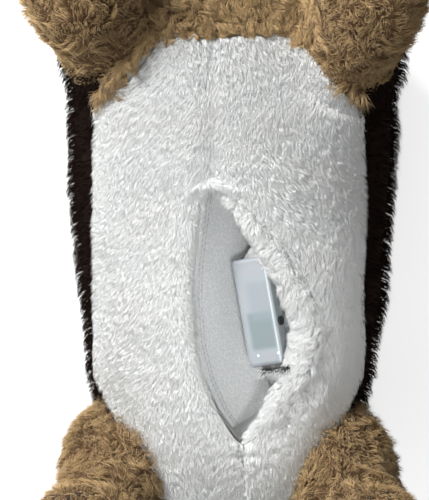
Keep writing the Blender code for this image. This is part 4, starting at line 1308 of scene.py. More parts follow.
@dataclass
class Assembly:
    """What every sub-assembly has: the materials, and ways to add a piece."""

    wardrobe: Wardrobe

    def cloth(
        self, name: str, surface: Surface, finish: str, body: str, slot: Slot, *nodes: str
    ) -> Object:
        """Adds a piece with a finish that rides on a body and stands for CAD nodes."""
        return settle(show(name, surface, self.wardrobe[finish]), body, slot, *nodes)

    def stuffed(
        self, name: str, surface: Surface, finish: str, body: str, slot: Slot, node: str, fill: float
    ) -> Object:
        """Adds a stuffed piece.

        Args:
            name: The piece's name.
            surface: Its closed form.
            finish: Its finish's name.
            body: The CAD body that it rides on.
            slot: Its material slot.
            node: The CAD node that it stands for.
            fill: Not used.

        Returns:
            The object.
        """
        made = self.cloth(name, surface, finish, body, slot, node)
        return made

    def pile(
        self, name: str, surface: Surface, coat: Coat, finish: str, body: str, slot: Slot,
        combing: Field, scale: Field | None = None,
        keep: Field | None = None,
    ) -> Object:
        """Grows a pile that rides on a body.

        Args:
            name: The piece's name.
            surface: The fabric that it grows on.
            coat: Its length, lean and tufting.
            finish: Its finish's name.
            body: The CAD body that it rides on.
            slot: Its material slot.
            combing: Gives the direction that the pile lies in at each place.
            scale: Gives a share of the full length at each place.
            keep: Says at which places the pile grows.

        Returns:
            The object.
        """
        return settle(grown(name, surface, coat, self.wardrobe[finish], combing, scale, keep), body, slot)


# Trunk


@dataclass
class Trunk(Assembly):
    """Stuffed body with its dark sides, white belly panels and tan chest."""
    rings: int = 96
    sides: int = 132
    pocket_margin: float = 0.0035
    skin_lift: float = 0.0026
    panel_half_width: float = 0.074
    panel_rear_half_width: float = 0.034
    panel_chest_half_width: float = 0.040
    chest_y: float = 0.124
    shoulder_y: float = 0.082
    hip_y: float = -0.070
    rear_y: float = -0.146
    edge_cover: float = 0.0013
    tan_edge: float = 0.0034
    flank_start: float = 0.072
    flank_width: float = 0.014
    flank_fullness: float = 0.0048
    strip_y: float = 0.086
    strip_width: float = 0.011
    seam_half_gap: float = 0.0003
    valley_depth: float = 0.0034
    valley_width: float = 0.009
    valley_reach: float = 0.045
    rear_valley_reach: float = 0.05
    rear_valley_share: float = 0.6
    seam_dip: float = 0.0008
    seam_dip_width: float = 0.003
    lip_rise: float = 0.0030
    lip_rise_width: float = 0.010
    hem_drop: float = 0.0045
    hem_drop_width: float = 0.0026
    hem_rise: float = 0.0012
    hem_rise_width: float = 0.012
    bib_half_width: float = 0.046
    bib_length: float = 0.018
    panel_rows: int = 150
    panel_columns: int = 30
    brown_coat: Coat = Coat(46000, 0.0088, 0.00026, 0.72, tuft=0.005, gather=0.4, seed=11)
    white_coat: Coat = Coat(
        64000, 0.0094, 0.00019, 1.10, spread=0.24, tuft=0.0030, gather=0.12, seed=21, swirl=0.45,
        swirl_size=0.060, lock_turn=0.10, lock_length=0.06,
    )
    edge_coat: Coat = Coat(
        6500, 0.0100, 0.00024, 0.90, spread=0.2, tuft=0.0050, gather=0.45, curl=0.4, bends=1, seed=24,
        lock_turn=0.5,
    )
    strip_start_y: float = 0.0935
    strip_overlap: float = 0.004
    strip_depth: float = 0.008
    strip_z: float = 0.070
    strip_coat: Coat = Coat(
        4200, 0.0104, 0.00025, 0.95, spread=0.22, tuft=0.0050, gather=0.30, curl=0.34, bends=1, seed=28,
        lock_turn=0.30,
    )
    head_tuft_x: float = -0.0085
    head_tuft_depth: float = 0.0046
    head_tuft_half_width: float = 0.0150
    head_tuft_lift: float = 0.0008
    head_tuft_coat: Coat = Coat(
        1900, 0.0094, 0.00019, 1.12, spread=0.34, tuft=0.0030, gather=0.12, seed=26, swirl=0.45,
        lock_turn=0.10, lock_length=0.10,
    )
    chest_coat: Coat = Coat(
        22000, 0.0146, 0.00027, 0.90, spread=0.24, tuft=0.0060, gather=0.34, curl=0.36, bends=1, seed=31,
        lock_turn=0.40, lock_length=0.20,
    )
    backing_thickness: float = 0.0018
    chest_side: float = 0.052
    chest_narrowing: float = 0.25
    chest_upper_z: float = 0.09
    chest_lower_z: float = 0.03

    def build(self) -> None:
        """Builds the whole trunk."""
        body = self.hide()
        self.belly()
        self.opening_head()
        self.shoulder_strips(body)
        self.chest(body)

    def panel_side(self, y: Array) -> Array:
        """Half the white belly's width at a Y.

        Args:
            y: Y of each place.

        Returns:
            Distances from the middle plane.
        """
        places = (self.rear_y, self.hip_y, self.shoulder_y, self.chest_y)
        full = self.panel_half_width
        return np.interp(y, places, (self.panel_rear_half_width, full, full, self.panel_chest_half_width))

    @staticmethod
    def pocket_floor(x: Array, y: Array) -> Array:
        """Height of the pocket's floor, which slopes up under the flap and to both ends.

        Args:
            x: X of each place.
            y: Y of each place.

        Returns:
            Heights in metres.
        """
        drop = FLAP.thickness + FLAP.room
        hinge = np.array([FLAP.hinge_x(OPENING), 0.0, FLAP.hinge_z])
        normal = np.array([sin(FLAP.slope), 0.0, cos(FLAP.slope)])
        start = hinge - normal * drop
        height = np.maximum(OPENING.floor_z, start[2] - (x - start[0]) * tan(FLAP.slope))
        for end_y, side in ((OPENING.head_y, 1), (OPENING.tail_y, -1)):
            rise = OPENING.belly_top_z - OPENING.end_depth - side * (end_y - y) * tan(OPENING.end_slope)
            height = np.maximum(height, rise)
        return height

    def hide(self) -> Surface:
        """Builds the torso's backing and its dark pile.

        Returns:
            The torso's surface.
        """
        y = TORSO.middle_y - TORSO.half_length * np.cos(pi * np.arange(1, self.rings) / self.rings)
        angles = 2 * pi * (np.arange(self.sides) + 0.5) / self.sides
        rows = TORSO.point(angles[None, :], y[:, None])
        x, z = rows[..., 0], rows[..., 2]
        margin = self.pocket_margin
        inside = (z > TORSO.half_height) & (rows[..., 1] < OPENING.head_y + margin)
        inside &= rows[..., 1] > OPENING.tail_y - margin
        inside &= x > OPENING.right_x(rows[..., 1]) - margin
        inside &= x < OPENING.wall_x(rows[..., 1]) + margin
        sunk = np.minimum(z, self.pocket_floor(x, rows[..., 1]) - 0.002)
        rows[..., 2] = np.where(inside, sunk, z)
        rows = SHOULDERS.filled(rows)
        out = np.clip((rows[..., 0] - self.flank_start) / self.flank_width, 0.0, 1.0)
        rows[..., 0] += self.flank_fullness * out**2 * (3.0 - 2.0 * out)
        ends = [np.array([0.0, TORSO.middle_y + s * TORSO.half_length, TORSO.half_height]) for s in (-1, 1)]
        body = outward(capped(rows, *ends))
        swell = Waves(0.06, 5).scalar(body.points)[:, None] * 0.0009
        flat_inside = np.append(inside.ravel(), [False, False])[:, None]
        body.points = body.points + np.where(flat_inside, 0.0, body.normals() * swell)
        body.points[:, 2] = np.maximum(body.points[:, 2], 0.0002)
        made = self.cloth("torso_backing", body, "brown_backing", Body.TORSO, Slot.BROWN_PILE, "torso")
        made.data.materials.append(self.wardrobe["white_backing"])
        middles = np.array([body.points[list(f)].mean(axis=0) for f in body.faces])
        made.data.polygons.foreach_set("material_index", self.under_panel(middles, 0.001).astype(np.int32))
        self.pile(
            "torso_pile", body, self.brown_coat, "brown_pile", Body.TORSO, Slot.BROWN_PILE,
            fixed_way((0.0, -1.0, -0.35)), keep=self.on_brown,
        )
        return body

    def on_brown(self, points: Array) -> Array:
        """Whether the dark pile grows at each place."""
        return ~self.under_panel(points, 0.002) & ~self.on_chest(points) & (points[:, 2] > 0.0015)

    def under_panel(self, points: Array, margin: float) -> Array:
        """Whether each place lies under the white panels.

        Args:
            points: N x 3 places in metres.
            margin: How far inside the panels' edges it has to lie.

        Returns:
            One truth value a place.
        """
        x, y, z = points.T
        covered = (z > 0.045) & (np.abs(x) < self.panel_side(y) - margin)
        return covered & (y > self.rear_y + margin) & (y < self.chest_y)

    def on_chest(self, points: Array) -> Array:
        """Whether the tan chest pile grows at each place.

        Args:
            points: N x 3 places in metres.

        Returns:
            One truth value a place.
        """
        x, y, z = points.T
        side = self.chest_side - self.chest_narrowing * np.maximum(0.0, self.chest_upper_z - z)
        front = (y > self.chest_y) & (z > self.chest_lower_z) & (np.abs(x) < side)
        panel = self.panel_side(y)
        beside = (y > self.strip_y) & (z > self.chest_upper_z) & (np.abs(x) < panel + self.strip_width)
        return front | (beside & (np.abs(x) > panel - 0.003)) | (beside & (y > self.chest_y))

    def belly(self) -> None:
        """Builds the two white panels and their pile."""
        y = np.linspace(self.rear_y, self.chest_y, self.panel_rows)
        opened = (y < OPENING.head_y) & (y > OPENING.tail_y)
        seam = np.array([OPENING.seam_x(value) for value in y])
        side = self.panel_side(y)
        right = np.where(opened, OPENING.right_x(y) + self.edge_cover, seam - self.seam_half_gap)
        left = np.where(opened, OPENING.wall_x(y), seam + self.seam_half_gap)
        edges = {"right": (right, -side), "left": (left, side)}
        for label, (inner, outer) in edges.items():
            share = np.linspace(0.0, 1.0, self.panel_columns) ** 1.3
            x = inner[:, None] + (outer - inner)[:, None] * share
            rows = SHOULDERS.filled(TORSO.belly(x, y[:, None] + 0.0 * x))
            away = np.abs(x - inner[:, None])
            seam_dip = -self.seam_dip * np.exp(-((away / self.seam_dip_width) ** 2))
            dip = np.where(opened[:, None], 0.0, seam_dip)
            valley = np.clip(1.0 - (y - OPENING.head_y) / self.valley_reach, 0.0, 1.0) * (y > OPENING.head_y)
            behind = np.clip(1.0 - (OPENING.tail_y - y) / self.rear_valley_reach, 0.0, 1.0)
            valley = valley + behind * (y < OPENING.tail_y) * self.rear_valley_share
            groove = np.exp(-((away / self.valley_width) ** 2))
            dip = dip - self.valley_depth * valley[:, None] * groove
            lip = OPENING.lip_share(y)[:, None] * opened[:, None]
            if label == "left":
                dip = dip + self.lip_rise * lip * np.exp(-away / self.lip_rise_width)
            else:
                dip = dip - self.hem_drop * lip * np.exp(-((away / self.hem_drop_width) ** 2))
                dip = dip + self.hem_rise * lip * np.exp(-away / self.hem_rise_width)
            top = grid(rows)
            normals = top.normals().reshape(rows.shape)
            normals *= np.sign(normals[..., 2:3])
            swell = Waves(0.035, 8).scalar(top.points).reshape(x.shape) * 0.0005
            top_rows = rows + normals * (self.skin_lift + swell)[..., None]
            top_rows[..., 2] += dip
            made = self.cloth(
                f"belly_{label}_backing", laid(top_rows, self.backing_thickness), "white_backing", Body.TORSO,
                Slot.WHITE_PILE, f"belly_panel_{label}",
            )
            flat_area = grid(top_rows).area()
            LOG.info("belly panel %s is cut from %.4f square metres", label, flat_area)
            ground = faced_up(top_rows)
            pile = self.pile(
                f"belly_{label}_pile", ground, replace(self.white_coat, seed=21 if label == "left" else 22),
                "white_pile", Body.TORSO, Slot.WHITE_PILE, self.white_way, scale=self.white_length,
                keep=lambda places: ~self.on_tan_edge(places),
            )
            tufts = self.pile(
                f"belly_{label}_tan_edge", ground.part(self.near_tan_edge(ground.points)),
                replace(self.edge_coat, seed=24 if label == "left" else 25), "tan_pile", Body.TORSO,
                Slot.TAN_PILE, fixed_way((0.0, -1.0, 0.0)), keep=self.on_tan_edge,
            )

    def beside_panel(self, points: Array) -> Array:
        """Whether each place on the torso lies just outside the white panels' slanting edges.

        Args:
            points: N x 3 places in metres.

        Returns:
            One truth value a place.
        """
        x, y, z = points.T
        inside = (self.panel_side(y) - np.abs(x)) * 0.75
        along = (y > self.strip_start_y) & (y < self.chest_y + self.strip_overlap)
        return along & (z > self.strip_z) & (inside < self.tan_edge) & (inside > -self.strip_depth)

    @staticmethod
    def strip_way(points: Array) -> Array:
        """The strips' pile lies to the tail and a little outwards."""
        outward_x = 0.5 * np.sign(points[:, 0])
        return np.stack([outward_x, np.full(len(points), -1.0), np.zeros(len(points))], axis=1)

    def shoulder_strips(self, body: Surface) -> None:
        """Builds the tan pile between the white panels' slanting edges and the front legs.

        Args:
            body: The torso's surface.
        """
        ground = body.part(self.beside_panel(body.points))
        self.pile("shoulder_strip_pile", ground, self.strip_coat, "tan_pile", Body.TORSO, Slot.TAN_PILE,
                  self.strip_way)

    def opening_head(self) -> None:
        """Builds the pile that hangs over the opening's upper end."""
        y = OPENING.head_y + np.linspace(-0.0006, self.head_tuft_depth, 8)
        across = np.linspace(-self.head_tuft_half_width, self.head_tuft_half_width, 24)
        x = self.head_tuft_x + across[None, :] + 0.0 * y[:, None]
        rows = TORSO.belly(x, y[:, None] + 0.0 * x)
        rows[..., 2] += self.head_tuft_lift
        self.pile("opening_head_pile", faced_up(rows), self.head_tuft_coat, "white_pile", Body.TORSO,
                  Slot.WHITE_PILE, fixed_way((0.0, -1.0, 0.0)))

    def edge_distance(self, points: Array) -> Array:
        """How far each place lies inside the white panels' upper and slanting edges.

        Args:
            points: N x 3 places in metres.

        Returns:
            Distances in metres, below 0 outside.
        """
        x, y = points[:, 0], points[:, 1]
        slanted = np.where(y > self.strip_y, (self.panel_side(y) - np.abs(x)) * 0.75, 1.0)
        return np.minimum(slanted, self.chest_y - y)

    def near_tan_edge(self, points: Array) -> Array:
        """Whether each place lies near enough to those edges for the tan pile."""
        return self.edge_distance(points) < self.tan_edge * 3.0

    def on_tan_edge(self, points: Array) -> Array:
        """Whether the tan pile grows at each place, with a ragged border."""
        ragged = Waves(0.016, 27).scalar(points) * self.tan_edge * 0.6
        return self.edge_distance(points) < self.tan_edge + ragged

    @staticmethod
    def white_way(points: Array) -> Array:
        """The white pile lies to the tail and outwards, and over the opening's edges.

        Args:
            points: N x 3 places in metres.

        Returns:
            N x 3 directions.
        """
        x, y = points[:, 0], points[:, 1]
        along = np.clip(np.minimum(OPENING.head_y - y, y - OPENING.tail_y) / 0.006, 0.0, 1.0)
        over_right = np.exp(-np.abs(x - OPENING.right_x(y)) / 0.007) * along
        over_left = np.exp(-np.abs(x - OPENING.wall_x(y)) / 0.007) * along
        across = np.sign(x) * (np.abs(x) / 0.06) ** 2 * 0.5 + 0.45 * over_right - 1.1 * over_left
        return np.stack([across, np.full(len(x), -1.0), np.zeros(len(x))], axis=1)

    def white_length(self, points: Array) -> Array:
        """The white pile is shorter along the panels' outer edges and the opening.

        Args:
            points: N x 3 places in metres.

        Returns:
            Shares of the full length.
        """
        x, y = points[:, 0], points[:, 1]
        outer = np.interp(self.panel_side(y) - np.abs(x), (0.0, 0.018), (0.55, 1.0))
        along = np.clip(np.minimum(OPENING.head_y - y, y - OPENING.tail_y) / 0.006, 0.0, 1.0)
        near = np.minimum(np.abs(x - OPENING.right_x(y)), np.abs(x - OPENING.wall_x(y)))
        inner = 1.0 - along * (1.0 - np.interp(near, (0.0, 0.010), (0.52, 1.0)))
        return outer * inner

    def chest(self, body: Surface) -> None:
        """Builds the tan chest between the front legs.

        Args:
            body: The torso's surface.
        """
        y = np.linspace(self.chest_y + 0.0006, self.chest_y + self.bib_length, 14)
        x = np.linspace(-self.bib_half_width, self.bib_half_width, 48)[None, :] + 0.0 * y[:, None]
        rows = SHOULDERS.filled(TORSO.belly(x, y[:, None] + 0.0 * x))
        normals = grid(rows).normals().reshape(rows.shape)
        normals *= np.sign(normals[..., 2:3])
        rows = rows + normals * self.skin_lift
        bib = self.cloth("chest_backing", laid(rows, self.backing_thickness), "tan_backing", Body.TORSO,
                         Slot.TAN_PILE, "chest_bib")
        front = body.part(self.on_chest(body.points))
        pile = self.pile("chest_pile", joined(front, faced_up(rows)), self.chest_coat, "tan_pile", Body.TORSO,
                         Slot.TAN_PILE, fixed_way((0.0, -1.0, -0.2)))
        grid(rows).area()


# Opening


@dataclass(frozen=True)
class Fringe:
    """One kind of fibre at the lower end of the plastic box."""

    name: str
    finish: str
    count: int
    length: float
    radius: float
    drop: float


@dataclass
class Opening(Assembly):
    """Lip, flap, lining and wadding of the belly opening."""
    lip_width: float = 0.0132
    lip_depth: float = 0.0125
    lip_sides: int = 26
    lip_rows: int = 110
    lip_drop: float = 0.0005
    lip_least: float = 0.10
    end_room: float = 0.0022
    lining_thickness: float = 0.0009
    lining_gap: float = 0.0006
    flap_inset: float = 0.0010
    flap_taper: float = 0.0012
    flap_under_lip: float = 0.0026
    flap_edge: tuple[tuple[float, float], ...] = (
        (-0.0850, 0.0240), (-0.0800, 0.0235), (-0.0680, 0.0185), (-0.0600, 0.0170), (-0.0400, 0.0120),
        (-0.0200, 0.0080), (-0.0045, 0.0070), (0.0080, 0.0148),
    )
    corner_points: tuple[tuple[float, float, float], ...] = (
        (0.0070, -0.0075, 0.1020), (0.0210, -0.0065, 0.1060), (0.0178, 0.0092, 0.1085),
    )
    fringe_ends: tuple[Place, Place] = ((0.0190, -0.0675, 0.1190), (0.0340, -0.0655, 0.1325))
    fringe_way: Place = (-0.32, -0.85, -0.10)
    fringe_spread: float = 0.40
    fringes: tuple[Fringe, ...] = (
        # The black fibres are real fringe and also painted shade: they darken the shadowed gap below the
        # box's lower end.
        Fringe("fringe_dark", "black_plastic", 330, 0.0060, 0.00015, 0.0),
        Fringe("fringe_white", "frayed_fibre", 300, 0.0085, 0.00013, 0.0014),
    )
    corner_cells: int = 14
    corner_ripple: float = 0.0008
    corner_ripple_length: float = 0.0016
    corner_fibres: int = 500
    filling_sides: int = 40
    filling_rings: int = 44
    filling_reach: float = 0.97
    filling_squareness: float = 0.55
    fray_count: int = 900
    fray_radius: float = 0.00009
    filling_corner: tuple[float, float, float] = (0.0235, -0.0698, 0.09365)
    filling_slope: tuple[float, float] = (0.5687, 0.1002)
    filling_gap: float = 0.0003
    hook_width: float = 0.0040
    hook_thickness: float = 0.0008
    hook_depth: float = 0.00655
    outer_stitches: float = 0.0042
    inner_stitches: float = 0.0066
    stitch_step: float = 0.0034
    stitch_length: float = 0.0024
    stitch_radius: float = 0.00030
    lip_coat: Coat = Coat(
        20000, 0.0082, 0.00018, 1.00, spread=0.26, tuft=0.0036, gather=0.26, curl=0.22, seed=41, swirl=0.40,
        swirl_size=0.03, lock_turn=0.22, lock_length=0.15,
    )

    def build(self) -> None:
        """Builds every piece of the opening."""
        self.lining()
        self.wadding()
        self.lip()
        self.flap()
        self.corner()
        self.fringe()

    def corner(self) -> None:
        """Builds the loose corner of white cloth above the plastic box, with its fray."""
        cells, count = self.corner_cells, self.corner_fibres
        rows = np.empty((cells, cells, 3))
        low, side, high = (np.array(point) for point in self.corner_points)
        for i, along in enumerate(np.linspace(0.0, 1.0, cells)):
            start, end = low * (1 - along) + high * along, side * (1 - along) + high * along
            for j, across in enumerate(np.linspace(0.0, 1.0, cells)):
                rows[i, j] = start * (1 - across) + end * across
        rows[:-1, :, 2] += self.corner_ripple * np.sin(rows[:-1, :, 1] / self.corner_ripple_length)
        rows[-1] = rows[-1] + np.linspace(-0.0006, 0.0006, cells)[:, None] * np.array([1.0, 0.3, 0.0])
        upward = grid(rows).normals()[cells * 6 + 6, 2] > 0
        cloth = thickened(rows, self.lining_thickness, -1.0 if upward else 1.0)
        made = self.cloth("lining_corner", cloth, "lining_cloth", Body.TORSO, Slot.WHITE_LINING)
        rng = np.random.default_rng(91)
        picks = rows.reshape(-1, 3)[rng.integers(0, cells**2, count)] + rng.normal(size=(count, 3)) * 0.0004
        ways = unit(rng.normal(size=(count, 3)) + np.array([-0.3, -0.3, 1.6]))
        fray = strands("lining_corner_fray", picks, ways, rng.uniform(0.0010, 0.0024, count), 0.00010,
                       self.wardrobe["frayed_fibre"])
        settle(fray, Body.TORSO, Slot.WHITE_LINING)
        grid(rows).area()

    def fringe(self) -> None:
        """Builds the black and white fringe at the lower end of the plastic box."""
        rng = np.random.default_rng(95)
        left, right = (np.array(point) for point in self.fringe_ends)
        for fringe in self.fringes:
            count = fringe.count
            share = rng.random(count)[:, None]
            roots = left * (1 - share) + right * share + rng.normal(size=(count, 3)) * 0.0005
            roots += np.array([-0.1, -1.0, -0.25]) * fringe.drop
            ways = unit(np.array(self.fringe_way) + rng.normal(size=(count, 3)) * self.fringe_spread)
            lengths = fringe.length * rng.uniform(0.5, 1.1, count)
            made = strands(fringe.name, roots, ways, lengths, fringe.radius, self.wardrobe[fringe.finish])
            settle(made, Body.MODULE, Slot.WHITE_LINING)

    def lining(self) -> None:
        """Builds the fabric bag of the pocket."""
        margin = self.lining_gap
        y = np.linspace(OPENING.tail_y + 0.0015, OPENING.head_y - 0.0015, 90)
        left, right = OPENING.right_x(y) + margin, OPENING.wall_x(y) - margin
        share = np.concatenate([np.zeros(14), np.linspace(0.0, 1.0, 44), np.ones(14)])
        climb = np.concatenate([np.linspace(1.0, 0.0, 15)[:-1], np.zeros(44), np.linspace(0.0, 1.0, 15)[1:]])
        x = left[:, None] + (right - left)[:, None] * share
        floor = Trunk.pocket_floor(x, y[:, None] + 0.0 * x) + 0.0002
        top = np.maximum(OPENING.lining_top_z, floor)
        z = floor + (top - floor) * climb
        rows = np.stack([x, y[:, None] + 0.0 * x, z], axis=-1)
        wrinkle = Waves(0.020, 51).scalar(rows.reshape(-1, 3)).reshape(x.shape) * 0.0004
        rows[..., 2] += np.where(climb == 0, np.abs(wrinkle), 0.0)
        bag = thickened(rows, self.lining_thickness, 1.0 if grid(rows).normals()[14 + 22, 2] > 0 else -1.0)
        made = self.cloth("pocket_bag", bag, "lining_cloth", Body.TORSO, Slot.WHITE_LINING, "pocket_lining")
        min(grid(rows).area(), 0.0224)

    def wadding(self) -> None:
        """Builds the filling that lies under the lip beside the plastic box."""
        low, high = (np.array(corner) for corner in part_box("pocket_wadding"))
        middle, half = (low + high) / 2, (high - low) / 2
        sides, power = self.filling_sides, self.filling_squareness
        angles = 2 * pi * np.arange(sides) / sides
        across = np.sign(np.cos(angles)) * np.abs(np.cos(angles)) ** power
        rise = np.sign(np.sin(angles)) * np.abs(np.sin(angles)) ** power
        rows = []
        for share in np.linspace(-self.filling_reach, self.filling_reach, self.filling_rings):
            size = (1.0 - abs(share) ** 5) ** 0.2
            rows.append(np.stack([
                middle[0] + across * half[0] * size, np.full(sides, middle[1] + share * half[1]),
                middle[2] + rise * half[2] * size,
            ], axis=-1))
        ends = [middle + np.array([0.0, s * half[1], 0.0]) for s in (-1, 1)]
        body = capped(np.array(rows), *ends).puffed(Waves(0.012, 61), 0.0004)
        corner, slope = np.array(self.filling_corner), self.filling_slope
        reach = body.points - corner
        top = corner[2] + slope[0] * reach[:, 0] + slope[1] * reach[:, 1] - self.filling_gap
        body.points[:, 2] = np.minimum(body.points[:, 2], top)
        self.stuffed("pocket_filling", body, "filling", Body.TORSO, Slot.WHITE_LINING, "pocket_wadding", 0.6)

    def lip(self) -> None:
        """Builds the rolled fold of white plush and its hook tape."""
        y = np.linspace(OPENING.tail_y + self.end_room, OPENING.head_y - self.end_room, self.lip_rows)
        size = OPENING.lip_share(y)
        middle_x = OPENING.left_x(y) + self.lip_width / 2 * size
        middle_z = TORSO.belly(middle_x, y)[:, 2] - self.lip_drop
        angles = 2 * pi * np.arange(self.lip_sides) / self.lip_sides
        wide = self.lip_width / 2 * np.maximum(size, self.lip_least)
        deep = self.lip_depth / 2 * np.maximum(size, self.lip_least)
        rows = np.stack([
            middle_x[:, None] + wide[:, None] * np.cos(angles), y[:, None] + 0.0 * angles[None, :],
            middle_z[:, None] + deep[:, None] * np.sin(angles),
        ], axis=-1)
        ends = [np.array([middle_x[i], y[i] + s * 0.0006, middle_z[i]]) for i, s in ((0, -1), (-1, 1))]
        body = outward(capped(rows, *ends).puffed(Waves(0.022, 71), 0.0004))
        self.stuffed("lip_roll", body, "white_backing", Body.LIP, Slot.WHITE_PILE, "opening_lip_left", 0.8)
        self.pile("lip_pile", body, self.lip_coat, "white_pile", Body.LIP, Slot.WHITE_PILE,
                  fixed_way((-0.75, -1.0, -0.1)), keep=self.above)
        strip_y = y[size > 0.9]
        x = np.interp(strip_y, y, middle_x)[:, None] + np.linspace(-0.5, 0.5, 7) * self.hook_width
        z = np.interp(strip_y, y, middle_z)[:, None] - self.hook_depth + 0.0 * x
        top = np.stack([x, strip_y[:, None] + 0.0 * x, z], axis=-1)
        tape = laid(top, self.hook_thickness)
        self.cloth("hook_tape", tape, "loop_tape", Body.LIP, Slot.LOOP_TAPE, "hook_strip")

    @staticmethod
    def above(points: Array) -> Array:
        """Keeps the pile off the lip's underside."""
        middle = TORSO.belly(points[:, 0], points[:, 1])[:, 2] - 0.0005
        return points[:, 2] > middle - 0.0030

    def flap(self) -> None:
        """Builds the wide tape flap with the stitches of its folded hem and its frayed edge."""
        y = np.linspace(OPENING.tail_y + 0.0030, OPENING.head_y - 0.0022, 150)
        taper = np.maximum(0.0, FLAP.taper_y - y) / (FLAP.taper_y - FLAP.tail_y)
        left = OPENING.right_x(y) + self.flap_inset + self.flap_taper * np.minimum(taper, 1.0)
        places, reach = (np.array(values) for values in zip(*self.flap_edge))
        right = np.interp(y, places, reach)
        under_lip = OPENING.left_x(y) + self.flap_under_lip
        right = np.where((y > places[-1]) | (y < places[0]), under_lip, np.minimum(right, under_lip))
        right = np.maximum(right, left + 0.0008)
        share = np.linspace(0.0, 1.0, 40)
        x = left[:, None] + (right - left)[:, None] * share
        wave = np.sin(y / 0.0135 + 0.8)[:, None] * share**3 * 0.0007 + 0.00045 * share**2
        flat = np.stack([x, y[:, None] + 0.0 * x, 0.0 * x], axis=-1)
        ripple = Waves(0.016, 81).scalar(flat.reshape(-1, 3)).reshape(x.shape) * 0.00022 * share
        rows = FLAP.point(OPENING, x, y[:, None], 0.0003 + np.abs(wave) + ripple)
        floor = Trunk.pocket_floor(x, y[:, None] + 0.0 * x) + self.lining_thickness + FLAP.thickness
        rows[..., 2] = np.maximum(rows[..., 2], floor)
        upward = grid(rows).normals().reshape(rows.shape)[75, 20, 2] > 0
        body = thickened(rows, FLAP.thickness * 0.8, -1.0 if upward else 1.0)
        made = self.cloth("tape_flap", body, "loop_tape", Body.FLAP, Slot.LOOP_TAPE, "under_flap")
        rng = np.random.default_rng(82)
        count = self.fray_count
        at = rng.uniform(0.0, 1.0, count)
        row = at * (len(y) - 1)
        index = row.astype(int)
        blend = (row - index)[:, None]
        following = np.minimum(index + 1, len(y) - 1)
        start = rows[index, -1] * (1 - blend) + rows[following, -1] * blend
        inner = rows[index, -4] * (1 - blend) + rows[following, -4] * blend
        way = unit(start - inner) + rng.normal(size=(count, 3)) * 0.35
        lengths = rng.uniform(0.0008, 0.0030, count)
        roots = start - unit(start - inner) * 0.0004
        fray = strands("tape_fray", roots, unit(way), lengths, self.fray_radius,
                       self.wardrobe["frayed_fibre"])
        settle(fray, Body.FLAP, Slot.LOOP_TAPE)
        self.hem_stitches("flap_stitching_outer", rows, self.outer_stitches)
        self.hem_stitches("flap_stitching_inner", rows, self.inner_stitches)
        LOG.info("the tape flap is cut from %.5f square metres", grid(rows).area())
        grid(rows).area()

    def hem_stitches(self, node: str, rows: Array, place: float) -> None:
        """Builds a row of thread stitches on the flap's hem.

        Args:
            node: the CAD node that the row stands for.
            rows: the flap's upper surface.
            place: the row's distance from the flap's sewn edge.
        """
        across = np.linalg.norm(rows - rows[:, :1], axis=2)
        line = np.array([
            [np.interp(place, across[i], rows[i, :, k]) for k in range(3)]
            for i in range(len(rows)) if across[i, -1] > place + 0.0015
        ])
        run = np.concatenate([[0.0], np.cumsum(np.linalg.norm(np.diff(line, axis=0), axis=1))])
        whole = None
        for start in np.arange(self.stitch_step, run[-1] - self.stitch_step, self.stitch_step):
            at = start + np.linspace(0.0, self.stitch_length, 7)
            points = np.stack([np.interp(at, run, line[:, k]) for k in range(3)], axis=1)
            points[:, 2] += self.stitch_radius * (2.2 * np.sin(np.linspace(0.0, pi, 7)) - 0.4)
            stitch = tube(points, self.stitch_radius, 6)
            whole = stitch if whole is None else joined(whole, stitch)
        self.cloth(f"{node}_thread", whole, "white_thread", Body.FLAP, Slot.WHITE_THREAD, node)
def strands(
    name: str, roots: Array, ways: Array, lengths: Array, radius: float, material: Material
) -> Object:
    """Short straight fibres, each a thin three-sided cone.

    Args:
        name: The piece's name.
        roots: Where the fibres start.
        ways: Their directions.
        lengths: Their lengths.
        radius: Their radius at the root.
        material: Their material.

    Returns:
        The object.
    """
    count = len(roots)
    side = unit(np.cross(ways, np.array([0.3, 0.5, 0.81])))
    other = np.cross(ways, side)
    rings = [roots + radius * (side * cos(2 * pi * k / 3) + other * sin(2 * pi * k / 3)) for k in range(3)]
    rings.append(roots + ways * lengths[:, None])
    points = np.stack(rings, axis=1).reshape(-1, 3)
    faces = [(4 * i + a, 4 * i + b, 4 * i + 3) for i in range(count) for a, b in ((0, 1), (1, 2), (2, 0))]
    made = show(name, Surface(points, faces), material)
    values = {"along": np.tile([0.0, 0.0, 0.0, 1.0], count), "shade": np.repeat(np.linspace(0, 1, count), 4)}
    for label, data in values.items():
        attribute = made.data.attributes.new(label, "FLOAT", "POINT")
        attribute.data.foreach_set("value", data.astype(np.float32))
    return made


# Limbs


@dataclass(frozen=True)
class LegForm:
    """Where a leg points, and which body it is."""

    body: str
    pivot: tuple[float, float, float]
    aim: tuple[float, float, float]
    seed: int
    root_length: float = 0.9


LEGS = (
    LegForm("front_leg_left", (0.060, 0.108, 0.095), (0.30, 0.42, 0.85), 101, 0.35),
    LegForm("front_leg_right", (-0.062, 0.114, 0.095), (-0.40, 0.50, 0.77), 111, 0.35),
    LegForm("hind_leg_left", (0.060, -0.122, 0.088), (0.22, -0.52, 0.82), 121),
    LegForm("hind_leg_right", (-0.060, -0.120, 0.088), (-0.24, -0.54, 0.80), 131),
)
LEG_STATIONS = (
    (0.0150, -0.026, 0.0), (0.0255, -0.016, 0.0), (0.0305, -0.002, 0.0), (0.0300, 0.012, 0.0),
    (0.0270, 0.024, 0.0),
    (0.0243, 0.036, 0.0), (0.0240, 0.050, 0.0), (0.0242, 0.064, 0.0018), (0.0258, 0.076, 0.0072),
    (0.0257, 0.087, 0.0112), (0.0224, 0.095, 0.0118), (0.0140, 0.0992, 0.012),
)


